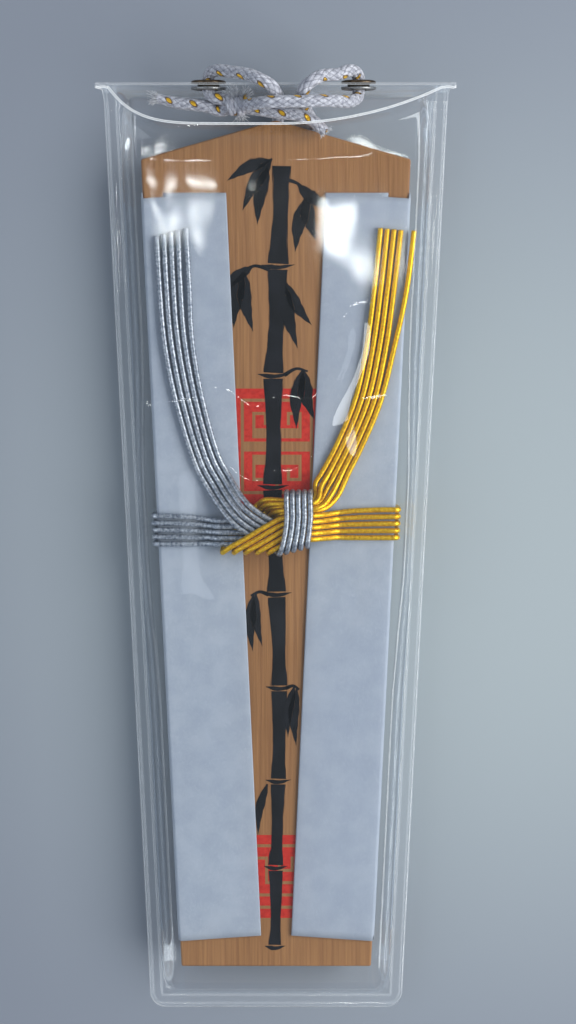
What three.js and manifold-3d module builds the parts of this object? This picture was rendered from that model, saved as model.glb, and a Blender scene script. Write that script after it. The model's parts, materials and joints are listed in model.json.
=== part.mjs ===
// Omamori charm: a pointed wooden tablet in a folded paper wrapper, tied with silver and gold
// paper cords, in a clear welded pouch whose open header is curled up and carries a hanging cord
// through two eyelets. Millimetres. X is to the right, Y runs up the tablet to its point, and Z
// stands out of the tablet's face. The charm lies on its back.

import * as THREE from 'three';
import { mergeVertices } from 'three/addons/utils/BufferGeometryUtils.js';
import Module from 'manifold-3d';

const wasm = await Module();
wasm.setup();

// Wooden tablet
const TABLET_LENGTH = 134.2;
const TABLET_SHOULDER_WIDTH = 42;
const TABLET_FOOT_WIDTH = 30.4;
const TABLET_GABLE_RISE = 6;
const TABLET_THICKNESS = 4;

// Paper wrapper, with each front flap folded back under itself
const PAPER_THICKNESS = 0.2;
const PAPER_GAP = 0.1;
const LAYER_GAP = 0.05;
const PAPER_SHOULDER_MARGIN = 6.1;
const PAPER_FOOT_MARGIN = 4.3;
const FLAP_WIDTH = 12.9;
const DOUBLED_WIDTH = 9.7;
const FLAP_RISE = 0.9;

// Silver and gold paper cords round the wrapper
const STRAND_DIAMETER = 0.85;
const STRAND_SIDES = 6;
const STRANDS_PER_COLOUR = 5;
const STRAND_GAP = 0.06;
const TIE_PLACE = 4;
const LEVEL_GAP = 0.05;
const KNOT_LEVELS = 5;
const BUTT_GAP = 0.1;

// Clear pouch of two welded sheets
const SHEET_THICKNESS = 0.35;
const WELD_WIDTH = 2.1;
const WELD_GAP = 0.1;
const WELD_HEIGHT = 3.8;
const FOOT_WELD_MARGIN = 5.4;
const FOOT_SIDE_MARGIN = 5.1;
const MOUTH_SIDE_MARGIN = 6.4;
const SHOULDER_MARGIN = 0.7;
const TIE_MARGIN = 0.9;
const TIE_REACH = 5;
const FACE_CLEARANCE = 0.4;
const KNOT_CLEARANCE = 0.3;
const KNOT_BULGE_REACH = 6.4;
const KNOT_BULGE_FALL = 7;
const KNOT_BULGE_SHARE = 0.34;
const BULGE_EDGE_RISE_SHARE = 0.4;
const CORD_SPACE = 2.3;

// Header of the pouch, curled up at the mouth
const HEADER_HEIGHT = 14;
const HEADER_LEAN = 0.7;
const HEADER_ROOT_GAP = 5.1;
const BACK_BEND_RADIUS = 4.8;
const SEAM_BEND_RADIUS = 3;
const LIP_BEND_RADIUS = 5.3;
const MOUTH_GAPE = 5.5;
const GAPE_LEFT_POWER = 6.5;
const GAPE_RIGHT_POWER = 2.1;
const CURL_START_MARGIN = 6.6;
const HEADER_SPLIT_SHARE = 0.55;
const SPLIT_GAP_SHARE = 0.015;

// Eyelets in the back wall of the header
const EYELET_SPACING = 23.1;
const EYELET_OFFSET = 1.2;
const EYELET_HEIGHT = 9.2;
const EYELET_HOLE_RADIUS = 1.5;
const EYELET_BARREL_WALL = 0.2;
const EYELET_FLANGE_RADIUS = 2.7;
const EYELET_FLANGE_THICKNESS = 0.5;
const WASHER_THICKNESS = 0.45;
const EYELET_FIT_GAP = 0.1;
const EYELET_SEGMENTS = 24;

// Hanging cord
const CORD_DIAMETER = 2;
const CORD_SIDES = 8;
const CORD_FLOOR_GAP = 0.1;
const KNOT_LENGTH = 4.6;
const KNOT_DEPTH = 3.4;
const KNOT_HEIGHT = 3.8;
const KNOT_SEGMENTS = 10;
const KNOT_PLACE = [-5.9, 69.1, 9.7];

// Any overrun of a cutting tool past the face that it cuts
const CUT_OVERRUN = 1;

// Places that follow from the sizes
const footY = -TABLET_LENGTH / 2;
const apexY = TABLET_LENGTH / 2;
const shoulderY = apexY - TABLET_GABLE_RISE;
const taperSlope = (TABLET_SHOULDER_WIDTH - TABLET_FOOT_WIDTH) / 2 / (shoulderY - footY);
const paperBackZ = SHEET_THICKNESS + CORD_SPACE;
const tabletBackZ = paperBackZ + PAPER_THICKNESS + LAYER_GAP;
const tabletFaceZ = tabletBackZ + TABLET_THICKNESS;
const paperFaceZ = tabletFaceZ + 2 * (LAYER_GAP + PAPER_THICKNESS);
const strandRadius = STRAND_DIAMETER / 2;
const levelRise = STRAND_DIAMETER + LEVEL_GAP;
const strandFaceZ = paperFaceZ + STRAND_GAP + strandRadius;
const strandBackZ = paperBackZ - STRAND_GAP - strandRadius;

function tabletHalfWidth(y) {
  return TABLET_FOOT_WIDTH / 2 + (y - footY) * taperSlope;
}

function material(colour, roughness, metalness) {
  return new THREE.MeshStandardMaterial({ color: colour, roughness, metalness });
}

const woodMaterial = material(0xc79a6b, 0.6, 0);
const paperMaterial = material(0xe9ebf0, 0.8, 0);
const silverMaterial = material(0xb4b8bf, 0.35, 0.9);
const goldMaterial = material(0xd9a514, 0.35, 0.9);
const clearMaterial = new THREE.MeshStandardMaterial({
  color: 0xdfe8ef, roughness: 0.1, metalness: 0, transparent: true, opacity: 0.3,
});
const bronzeMaterial = material(0x5b4d40, 0.35, 0.9);
const steelMaterial = material(0x8c8f93, 0.4, 0.9);
const cordMaterial = material(0xe6e6ea, 0.9, 0);

const charm = new THREE.Group();
const cordMeshes = [];

function addPiece(name, geometry, pieceMaterial) {
  const mesh = new THREE.Mesh(geometry, pieceMaterial);
  mesh.name = name;
  charm.add(mesh);
  return mesh;
}

// A closed solid from points and triangles
function solidFrom(points, triangles) {
  const geometry = new THREE.BufferGeometry();
  geometry.setAttribute('position', new THREE.Float32BufferAttribute(points.flat(), 3));
  geometry.setIndex(triangles.flat());
  geometry.computeVertexNormals();
  return geometry;
}

// A closed solid through rings of equal point count, with its first and last ring capped
function loftRings(rings, capTriangles) {
  const count = rings[0].length;
  const triangles = [];
  for (let r = 0; r < rings.length - 1; r += 1) {
    for (let k = 0; k < count; k += 1) {
      const a = r * count + k;
      const b = r * count + (k + 1) % count;
      triangles.push([a, b, b + count], [a, b + count, a + count]);
    }
  }
  const last = (rings.length - 1) * count;
  for (const [a, b, c] of capTriangles) {
    triangles.push([c, b, a], [last + a, last + b, last + c]);
  }
  return solidFrom(rings.flat(), triangles);
}

// Wooden tablet: a plate with a low gable and sides that draw in to the foot
function makeTablet() {
  const outline = new THREE.Shape();
  outline.moveTo(-TABLET_FOOT_WIDTH / 2, footY);
  outline.lineTo(TABLET_FOOT_WIDTH / 2, footY);
  outline.lineTo(TABLET_SHOULDER_WIDTH / 2, shoulderY);
  outline.lineTo(0, apexY);
  outline.lineTo(-TABLET_SHOULDER_WIDTH / 2, shoulderY);
  outline.closePath();
  const geometry = new THREE.ExtrudeGeometry(outline, { depth: TABLET_THICKNESS, bevelEnabled: false });
  geometry.translate(0, 0, tabletBackZ);
  addPiece('wooden_tablet', geometry, woodMaterial);
}

// Paper wrapper: one sheet behind the tablet, round both its sides and folded under at the front
function makePaper() {
  const topY = shoulderY - PAPER_SHOULDER_MARGIN;
  const bottomY = footY + PAPER_FOOT_MARGIN;
  const underZ = tabletFaceZ + LAYER_GAP;
  const overZ = underZ + PAPER_THICKNESS + LAYER_GAP;
  function section(endY) {
    const half = tabletHalfWidth(endY);
    const inner = half - FLAP_WIDTH;
    const free = inner + DOUBLED_WIDTH;
    const sideIn = half + PAPER_GAP;
    const sideOut = sideIn + PAPER_THICKNESS;
    const foldedY = endY + FLAP_RISE;
    const right = [
      [sideOut, endY, paperBackZ],
      [sideOut, endY, paperFaceZ],
      [inner, foldedY, paperFaceZ],
      [inner, foldedY, underZ],
      [free, foldedY, underZ],
      [free, foldedY, underZ + PAPER_THICKNESS],
      [inner + PAPER_THICKNESS, foldedY, underZ + PAPER_THICKNESS],
      [inner + PAPER_THICKNESS, foldedY, overZ],
      [sideIn, endY, overZ],
      [sideIn, endY, paperBackZ + PAPER_THICKNESS],
    ];
    const left = right.map(([x, y, z]) => [-x, y, z]).reverse();
    return [...right, ...left];
  }
  const rings = [section(topY), section(bottomY)];
  const flat = rings[0].map(([x, , z]) => new THREE.Vector2(x, z));
  const caps = THREE.ShapeUtils.triangulateShape(flat, []);
  addPiece('paper_wrapper', loftRings(rings, caps), paperMaterial);
}

// A round tube along points, rounded through them, with a ring wherever a straight span from the
// last ring would leave the curve by more than the sag
function tubeAlong(points, radius, sides, stepsPerSpan, sag) {
  const route = points.map((p) => new THREE.Vector3(...p));
  const curve = new THREE.CatmullRomCurve3(route, false, 'centripetal');
  const fine = curve.getPoints(stepsPerSpan * (route.length - 1));
  const kept = [fine[0]];
  let lastDirection = fine[1].clone().sub(fine[0]).normalize();
  for (let k = 1; k < fine.length - 1; k += 1) {
    const ahead = fine[k + 1].clone().sub(fine[k]).normalize();
    const gone = fine[k].distanceTo(kept[kept.length - 1]);
    if ((gone * lastDirection.angleTo(ahead)) / 8 > sag) {
      kept.push(fine[k]);
      lastDirection = ahead;
    }
  }
  kept.push(fine[fine.length - 1]);
  return sweptTube(kept, radius, sides);
}

// A round tube with a ring of points square to the route at each of its places
function sweptTube(places, radius, sides) {
  const rings = [];
  let side = null;
  for (let k = 0; k < places.length; k += 1) {
    const before = places[Math.max(0, k - 1)];
    const after = places[Math.min(places.length - 1, k + 1)];
    const along = after.clone().sub(before).normalize();
    if (side === null) {
      side = new THREE.Vector3(0, 0, 1).cross(along);
      if (side.length() < 0.1) side = new THREE.Vector3(0, 1, 0).cross(along);
    }
    side.addScaledVector(along, -side.dot(along)).normalize();
    const up = along.clone().cross(side);
    const ring = [];
    for (let s = 0; s < sides; s += 1) {
      const angle = (2 * Math.PI * s) / sides;
      const at = places[k].clone();
      at.addScaledVector(side, radius * Math.cos(angle));
      at.addScaledVector(up, radius * Math.sin(angle));
      ring.push(at.toArray());
    }
    rings.push(ring);
  }
  const caps = [];
  for (let s = 1; s < sides - 1; s += 1) caps.push([0, s, s + 1]);
  return loftRings(rings, caps);
}

// The tie's routes, for the middle strand: x, y, level above the paper, the step to the next
// strand in x and y, and how far every other strand is lifted, in levels. Level 0 lies on the paper.
const silverRibbon = [
  [-17.2, 3.3, 0, 0, 1.1, 0],
  [-13, 3.2, 0, 0, 1.05, 0],
  [-11.2, 3.1, 0, 0, 0.96, 0],
  [-10.2, 3.05, 0.35, 0, 0.93, 0],
  [-9.2, 3.0, 0.95, 0, 0.92, 0],
  [-8, 3.0, 1, 0, 0.92, 0],
  [-4, 3.0, 1, 0, 0.92, 0],
  [-1, 3.0, 1, 0, 0.92, 0],
  [0.8, 2.98, 1, 0, 0.93, 0],
  [2.25, 3.36, 1, -0.46, 0.8, 0],
  [3.24, 4.35, 1, -0.8, 0.46, 0],
  [3.6, 5.7, 1, -0.92, 0, 0],
  [3.6, 8.2, 1, -0.92, 0, 0],
  [3.6, 9.1, 1.3, -0.92, 0, 0],
  [3.55, 9.5, 2.4, -0.92, 0, 0],
  [3.5, 9.1, 3.6, -0.92, 0, 0],
  [3.5, 7.8, 4, -0.92, 0, 0],
  [3.55, 5.5, 4, -0.92, 0, 0],
  [3.3, 3.0, 4, -0.92, 0.02, 0],
  [2.95, 1.25, 4, -1.0, -0.2, 0],
  [2.75, 0.38, 3.2, -1.1, -0.3, 0],
  [2.4, 0.7, 2.1, -1.08, -0.36, 0],
  [1.3, 1.6, 2, -0.75, -0.6, 0],
  [-0.8, 2.9, 2, -0.5, -0.78, 0],
  [-3.4, 4.4, 2, -0.52, -0.77, 0],
  [-5.6, 6.1, 2, -0.62, -0.7, 0],
  [-7.4, 8.3, 1.2, -0.74, -0.58, 0],
  [-9.1, 11.0, 0, -0.82, -0.5, 0],
  [-10.7, 14.0, 0, -0.88, -0.38, 0],
];
const goldRibbon = [
  [17.2, 4.3, 0, 0, 1.1, 0],
  [12, 4.2, 0, 0, 1.05, 0],
  [9.7, 4.1, 0.1, 0, 0.97, 0],
  [8.3, 4.0, 1, 0, 0.94, 0],
  [7.0, 3.95, 2.2, 0, 0.92, 0],
  [5.7, 3.9, 2.9, 0, 0.92, 0],
  [4.0, 3.9, 3, 0, 0.92, 0],
  [2.6, 3.85, 3, 0, 0.92, 0],
  [1.3, 3.5, 3, -0.25, 0.9, 0],
  [-0.4, 2.55, 3, -0.7, 0.7, 0],
  [-2.2, 1.5, 3, -1.2, 0.38, 0],
  [-3.8, 0.6, 3, -1.6, 0.15, 0],
  [-4.5, 0.1, 2.4, -1.75, 0.05, 0],
  [-4.75, -0.15, 1.5, -1.8, 0.02, 0],
  [-4.75, 0.15, 0.5, -1.8, 0, 0],
  [-4.4, 1.2, 0, -1.75, 0, 0],
  [-3.2, 3.8, 0, -1.25, 0.1, 0],
  [-2.1, 5.6, 0, -0.85, 0.4, 0],
  [-1.45, 6.35, 0, -0.7, 0.5, 0.3],
  [-0.7, 6.85, 0.8, -0.5, 0.62, 0.9],
  [0.9, 7.1, 1.95, 0, 0.52, 1],
  [3.0, 7.1, 2, 0, 0.5, 1],
  [4.8, 7.15, 2, -0.05, 0.5, 1],
  [6.1, 7.35, 1.95, -0.1, 0.43, 1],
  [7.1, 8.0, 1.3, -0.42, 0.5, 1.1],
  [7.9, 9.6, 0.5, -0.85, 0.5, 0.9],
  [8.8, 11.2, 0.1, -0.86, 0.45, 0.3],
  [9.8, 13.2, 0, -0.8, 0.45, 0],
  [11.5, 16.6, 0, -0.85, 0.35, 0],
];

// The free ends of the tie: x as a share of the tablet's half width there, y, the step to the next
// strand in x and y, and how far the right-hand strand stands apart from the others
const silverEnds = [
  [-0.704, 23.7, -1.0, -0.2, 0],
  [-0.776, 33, -1.05, -0.1, 0.1],
  [-0.794, 42, -1.08, -0.05, 0.3],
  [-0.796, 49.8, -1.1, -0.3, 0.1],
];
const goldEnds = [
  [0.746, 23.7, -0.95, 0.2, 0],
  [0.823, 32, -1.0, 0.12, 0.25],
  [0.866, 41, -1.02, 0.05, 0.95],
  [0.897, 50.2, -1.05, 0.1, 1.0],
];

// One strand: from the middle of the back, round the side of the wrapper, and along its ribbon
function strandRoute(ribbon, ends, number) {
  const step = number - (STRANDS_PER_COLOUR - 1) / 2;
  const lifted = number % 2;
  const free = ends.map(([share, y, stepX, stepY, apart]) => [
    share * tabletHalfWidth(y) + step * stepX + (number === 0 ? apart : 0),
    y + step * stepY,
    strandFaceZ,
  ]);
  const front = ribbon.map(([x, y, level, stepX, stepY, lift]) => [
    x + step * stepX,
    y + step * stepY,
    strandFaceZ + (level + lifted * lift) * levelRise,
  ]);
  const hand = Math.sign(ribbon[0][0]);
  const y = ribbon[0][1] + step * ribbon[0][4];
  const corner = tabletHalfWidth(y) + PAPER_GAP + PAPER_THICKNESS;
  const reach = strandRadius + STRAND_GAP;
  const diagonal = reach * Math.SQRT1_2;
  const round = [
    [hand * (corner - reach), y, strandBackZ],
    [hand * corner, y, strandBackZ],
    [hand * (corner + diagonal), y, paperBackZ - diagonal],
    [hand * (corner + reach), y, paperBackZ],
    [hand * (corner + reach), y, paperBackZ + reach],
    [hand * (corner + reach), y, paperFaceZ - reach],
    [hand * (corner + reach), y, paperFaceZ],
    [hand * (corner + diagonal), y, paperFaceZ + diagonal],
    [hand * corner, y, strandFaceZ],
    [hand * (corner - reach), y, strandFaceZ],
  ];
  return [[hand * BUTT_GAP / 2, y, strandBackZ], ...round, ...front, ...free];
}

const STRAND_STEPS_PER_SPAN = 6;
const STRAND_SAG = 0.03;

function makeStrands(colour, ribbon, ends, strandMaterial) {
  for (let number = 0; number < STRANDS_PER_COLOUR; number += 1) {
    const route = strandRoute(ribbon, ends, number);
    const tube = tubeAlong(
      route, strandRadius, STRAND_SIDES, STRAND_STEPS_PER_SPAN, STRAND_SAG,
    );
    addPiece(`${colour}_strand_${number + 1}`, tube, strandMaterial);
  }
}

// Pouch sheets. The back, the weld seam and the front each follow a path in the Y-Z plane, and
// across the pouch a sheet runs from the seam to its own path.
const weldFootY = footY - FOOT_WELD_MARGIN;
const outerFootY = weldFootY - WELD_WIDTH;
const curlStartY = apexY - CURL_START_MARGIN;
const wallRootY = apexY + HEADER_ROOT_GAP;
const wallTopY = wallRootY - HEADER_LEAN;
const lipY = wallTopY - MOUTH_GAPE;
const faceInnerZ = strandFaceZ + strandRadius + FACE_CLEARANCE;
const knotInnerZ = strandFaceZ + (KNOT_LEVELS - 1) * levelRise + strandRadius + KNOT_CLEARANCE;
const tentLength = FOOT_WELD_MARGIN - PAPER_GAP;

function backPath() {
  const path = new THREE.Path();
  path.moveTo(curlStartY, SHEET_THICKNESS);
  const centreY = wallRootY - BACK_BEND_RADIUS;
  path.lineTo(centreY, SHEET_THICKNESS);
  path.absarc(centreY, SHEET_THICKNESS + BACK_BEND_RADIUS, BACK_BEND_RADIUS, -Math.PI / 2, 0, false);
  path.lineTo(wallTopY, HEADER_HEIGHT);
  return path;
}

function seamPath() {
  const path = new THREE.Path();
  path.moveTo(curlStartY, WELD_HEIGHT);
  const centreY = wallRootY - SEAM_BEND_RADIUS;
  path.lineTo(centreY, WELD_HEIGHT);
  path.absarc(centreY, WELD_HEIGHT + SEAM_BEND_RADIUS, SEAM_BEND_RADIUS, -Math.PI / 2, 0, false);
  path.lineTo(wallTopY, HEADER_HEIGHT);
  return path;
}

function frontPath() {
  const path = new THREE.Path();
  path.moveTo(curlStartY, faceInnerZ);
  const centreY = lipY - LIP_BEND_RADIUS;
  path.lineTo(centreY, faceInnerZ);
  path.absarc(centreY, faceInnerZ + LIP_BEND_RADIUS, LIP_BEND_RADIUS, -Math.PI / 2, 0, false);
  return path;
}

const paths = { back: backPath(), seam: seamPath(), front: frontPath() };
const pouchLength = curlStartY - outerFootY + paths.seam.getLength();

function outerHalfWidth(along) {
  const atFoot = TABLET_FOOT_WIDTH / 2 + FOOT_SIDE_MARGIN;
  const atMouth = TABLET_SHOULDER_WIDTH / 2 + MOUTH_SIDE_MARGIN;
  return THREE.MathUtils.lerp(atFoot, atMouth, along / pouchLength);
}

// One inside the reach, falling smoothly to nothing over the fall beyond it
function easeBump(distance, reach, fall) {
  const share = THREE.MathUtils.clamp((Math.abs(distance) - reach) / fall, 0, 1);
  return (1 + Math.cos(Math.PI * share)) / 2;
}

function tentShare(y) {
  return Math.sin((Math.PI / 2) * THREE.MathUtils.clamp((y - weldFootY) / tentLength, 0, 1));
}

// A station across the pouch: the seam point, the sheet's middle point, and the widths there
function lowerStation(y, side) {
  const middleZ = side === 'front' ? faceInnerZ : SHEET_THICKNESS;
  const bulge = side === 'front' ? knotInnerZ - faceInnerZ : 0;
  const outer = outerHalfWidth(y - outerFootY);
  return {
    seam: [y, WELD_HEIGHT],
    middle: [y, WELD_HEIGHT + (middleZ - WELD_HEIGHT) * tentShare(y)],
    flat: tabletHalfWidth(y) + PAPER_GAP + PAPER_THICKNESS + SHOULDER_MARGIN
      + TIE_MARGIN * easeBump(y - TIE_PLACE, TIE_REACH, KNOT_BULGE_FALL),
    outer,
    curl: 0,
    rise: bulge * easeBump(y - TIE_PLACE, KNOT_BULGE_REACH, KNOT_BULGE_FALL),
  };
}

function upperStation(share, side) {
  const seam = paths.seam.getPointAt(share);
  const middle = paths[side].getPointAt(share);
  const along = curlStartY - outerFootY + share * paths.seam.getLength();
  return {
    seam: [seam.x, seam.y],
    middle: [middle.x, middle.y],
    flat: tabletHalfWidth(curlStartY) + PAPER_GAP + PAPER_THICKNESS + SHOULDER_MARGIN,
    outer: outerHalfWidth(along),
    curl: THREE.MathUtils.smoothstep(share, 0, 1),
    rise: 0,
  };
}

const shoulderShares = [0, 0.25, 0.5, 0.75];
const flatShares = [
  [-1, 0],
  [-1 + KNOT_BULGE_SHARE, BULGE_EDGE_RISE_SHARE],
  [-KNOT_BULGE_SHARE, 1],
  [0, 1],
  [KNOT_BULGE_SHARE, 1],
  [1 - KNOT_BULGE_SHARE, BULGE_EDGE_RISE_SHARE],
  [1, 0],
];

// Places across one station, from the left edge to the right: x, how far towards the middle path,
// and how far raised over the knot
function acrossStation(station) {
  const weld = station.outer - WELD_WIDTH;
  const row = [[-station.outer, 0, 0]];
  function profile(x) {
    const beyond = Math.max(0, (Math.abs(x) - station.flat) / (weld - station.flat));
    const shoulder = (1 + Math.cos(Math.PI * Math.min(1, beyond))) / 2;
    const power = x < 0 ? GAPE_LEFT_POWER : GAPE_RIGHT_POWER;
    const gape = 1 - Math.min(1, Math.abs(x) / weld) ** power;
    return THREE.MathUtils.lerp(shoulder, gape, station.curl);
  }
  for (const share of shoulderShares) {
    const x = -weld + (weld - station.flat) * share;
    row.push([x, profile(x), 0]);
  }
  for (const [share, riseShare] of flatShares) {
    const x = station.flat * share;
    row.push([x, profile(x), station.rise * riseShare]);
  }
  for (const share of [...shoulderShares].reverse()) {
    const x = weld - (weld - station.flat) * share;
    row.push([x, profile(x), 0]);
  }
  row.push([station.outer, 0, 0]);
  return row;
}

// One sheet from its stations: the inner face, and the outer face one thickness away
function sheetFrom(stations, side) {
  const outward = side === 'front' ? 1 : -1;
  const inner = stations.map((station) => acrossStation(station).map(([x, share, rise]) => new THREE.Vector3(
    x,
    THREE.MathUtils.lerp(station.seam[0], station.middle[0], share),
    THREE.MathUtils.lerp(station.seam[1], station.middle[1], share) + rise,
  )));
  const rows = inner.length;
  const columns = inner[0].length;
  const faces = { near: [], far: [] };
  for (let r = 0; r < rows; r += 1) {
    for (let c = 0; c < columns; c += 1) {
      const alongRow = inner[r][Math.min(columns - 1, c + 1)].clone().sub(inner[r][Math.max(0, c - 1)]);
      const upColumn = inner[Math.min(rows - 1, r + 1)][c].clone().sub(inner[Math.max(0, r - 1)][c]);
      const normal = alongRow.cross(upColumn).normalize().multiplyScalar(outward);
      const point = inner[r][c];
      faces.near.push(point.clone().addScaledVector(normal, WELD_GAP / 2).toArray());
      faces.far.push(point.clone().addScaledVector(normal, WELD_GAP / 2 + SHEET_THICKNESS).toArray());
    }
  }
  return shellFromGrid(faces.near, faces.far, rows, columns, outward);
}

// A closed shell from two grids of points, the second lying outward of the first
function shellFromGrid(near, far, rows, columns, outward) {
  const offset = near.length;
  const triangles = [];
  function quad(a, b, c, d) {
    if (outward > 0) triangles.push([a, b, c], [a, c, d]);
    else triangles.push([a, c, b], [a, d, c]);
  }
  for (let r = 0; r < rows - 1; r += 1) {
    for (let c = 0; c < columns - 1; c += 1) {
      const a = r * columns + c;
      const b = a + 1;
      const d = a + columns;
      quad(offset + a, offset + b, offset + d + 1, offset + d);
      quad(a, d, d + 1, b);
    }
  }
  for (let c = 0; c < columns - 1; c += 1) {
    const top = (rows - 1) * columns + c;
    quad(c, c + 1, offset + c + 1, offset + c);
    quad(top + 1, top, offset + top, offset + top + 1);
  }
  for (let r = 0; r < rows - 1; r += 1) {
    const left = r * columns;
    const right = left + columns - 1;
    quad(left + columns, left, offset + left, offset + left + columns);
    quad(right, right + columns, offset + right + columns, offset + right);
  }
  return solidFrom([...near, ...far], triangles);
}

const tentShares = [0, 0.2, 0.45, 0.75, 1];
const fallShares = [0, 0.3, 0.55, 1];
const lowerCurlShares = [0, 0.15, 0.3, 0.38, 0.46, HEADER_SPLIT_SHARE];
const upperCurlShares = [HEADER_SPLIT_SHARE + SPLIT_GAP_SHARE, 0.63, 0.7, 0.8, 0.9, 1];

function lowerStations(side) {
  const welded = lowerStation(weldFootY, side);
  const edge = {
    ...welded,
    seam: [outerFootY, WELD_HEIGHT],
    middle: [outerFootY, WELD_HEIGHT],
    outer: welded.outer - WELD_WIDTH / 2,
  };
  const falls = fallShares.map((share) => KNOT_BULGE_REACH + KNOT_BULGE_FALL * share);
  const ys = [
    ...tentShares.map((share) => weldFootY + share * tentLength),
    (footY + TIE_PLACE) / 2,
    ...[...falls].reverse().map((fall) => TIE_PLACE - fall),
    ...falls.map((fall) => TIE_PLACE + fall),
    (curlStartY + TIE_PLACE) / 2,
  ];
  return [
    edge,
    ...ys.map((y) => lowerStation(y, side)),
    ...lowerCurlShares.map((share) => upperStation(share, side)),
  ];
}

// The header's back wall has a round hole for each eyelet
const wallLean = Math.atan2(HEADER_LEAN, HEADER_HEIGHT - SHEET_THICKNESS - BACK_BEND_RADIUS);
const barrelRadius = EYELET_HOLE_RADIUS + EYELET_BARREL_WALL;
const wallDrop = HEADER_HEIGHT - EYELET_HEIGHT;
const eyeletY = wallTopY + wallDrop * Math.tan(wallLean);
const eyeletXs = [EYELET_OFFSET - EYELET_SPACING / 2, EYELET_OFFSET + EYELET_SPACING / 2];

function toManifold(geometry) {
  const plain = geometry.clone();
  plain.deleteAttribute('normal');
  plain.deleteAttribute('uv');
  const merged = mergeVertices(plain);
  return new wasm.Manifold(new wasm.Mesh({
    numProp: 3,
    vertProperties: new Float32Array(merged.attributes.position.array),
    triVerts: new Uint32Array(merged.index.array),
  }));
}

function fromManifold(solid) {
  const mesh = solid.getMesh();
  const geometry = new THREE.BufferGeometry();
  geometry.setAttribute('position', new THREE.BufferAttribute(mesh.vertProperties, 3));
  geometry.setIndex(new THREE.BufferAttribute(mesh.triVerts, 1));
  geometry.computeVertexNormals();
  return geometry;
}

function placeOnWall(geometry, x) {
  geometry.rotateX(wallLean);
  geometry.translate(x, eyeletY, EYELET_HEIGHT);
  return geometry;
}

function makePouch() {
  addPiece('pouch_back_sheet', sheetFrom(lowerStations('back'), 'back'), clearMaterial);
  addPiece('pouch_front_sheet', sheetFrom(lowerStations('front'), 'front'), clearMaterial);
  const headerStations = (side) => upperCurlShares.map((share) => upperStation(share, side));
  let wall = toManifold(sheetFrom(headerStations('back'), 'back'));
  const drillLength = 2 * (SHEET_THICKNESS + CUT_OVERRUN);
  for (const x of eyeletXs) {
    const drill = new THREE.CylinderGeometry(
      barrelRadius + EYELET_FIT_GAP, barrelRadius + EYELET_FIT_GAP, drillLength, EYELET_SEGMENTS,
    );
    wall = wall.subtract(toManifold(placeOnWall(drill, x)));
  }
  addPiece('header_back_sheet', fromManifold(wall), clearMaterial);
  addPiece('header_front_sheet', sheetFrom(headerStations('front'), 'front'), clearMaterial);
}

// Each eyelet has its flange and barrel in one piece outside, and a washer inside
function makeEyelets() {
  const sheetIn = WELD_GAP / 2;
  const sheetOut = sheetIn + SHEET_THICKNESS;
  const flangeIn = sheetOut + EYELET_FIT_GAP;
  const flangeOut = flangeIn + EYELET_FLANGE_THICKNESS;
  const washerOut = sheetIn - EYELET_FIT_GAP;
  const washerIn = washerOut - WASHER_THICKNESS;
  const eyeletProfile = [
    [EYELET_HOLE_RADIUS, washerIn],
    [barrelRadius, washerIn],
    [barrelRadius, flangeIn],
    [EYELET_FLANGE_RADIUS, flangeIn],
    [EYELET_FLANGE_RADIUS, flangeOut - EYELET_FLANGE_THICKNESS / 2],
    [(EYELET_FLANGE_RADIUS + EYELET_HOLE_RADIUS) / 2, flangeOut],
    [EYELET_HOLE_RADIUS, flangeOut],
    [EYELET_HOLE_RADIUS, washerIn],
  ];
  const washerProfile = [
    [barrelRadius + EYELET_FIT_GAP, washerIn],
    [EYELET_FLANGE_RADIUS, washerIn],
    [EYELET_FLANGE_RADIUS, washerOut],
    [barrelRadius + EYELET_FIT_GAP, washerOut],
    [barrelRadius + EYELET_FIT_GAP, washerIn],
  ];
  const hands = ['left', 'right'];
  for (const [index, x] of eyeletXs.entries()) {
    const eyelet = new THREE.LatheGeometry(eyeletProfile.map((p) => new THREE.Vector2(...p)), EYELET_SEGMENTS);
    const washer = new THREE.LatheGeometry(washerProfile.map((p) => new THREE.Vector2(...p)), EYELET_SEGMENTS);
    addPiece(`eyelet_${hands[index]}`, placeOnWall(eyelet, x), bronzeMaterial);
    addPiece(`eyelet_washer_${hands[index]}`, placeOnWall(washer, x), steelMaterial);
  }
}

// Hanging cord. Both of its ends pass through the eyelets from outside and are knotted together
// inside the mouth; the loop is folded over the mouth's edge and tucked behind the tablet.
const cordRadius = CORD_DIAMETER / 2;
const cordFloorZ = SHEET_THICKNESS + CORD_FLOOR_GAP + cordRadius;

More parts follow.
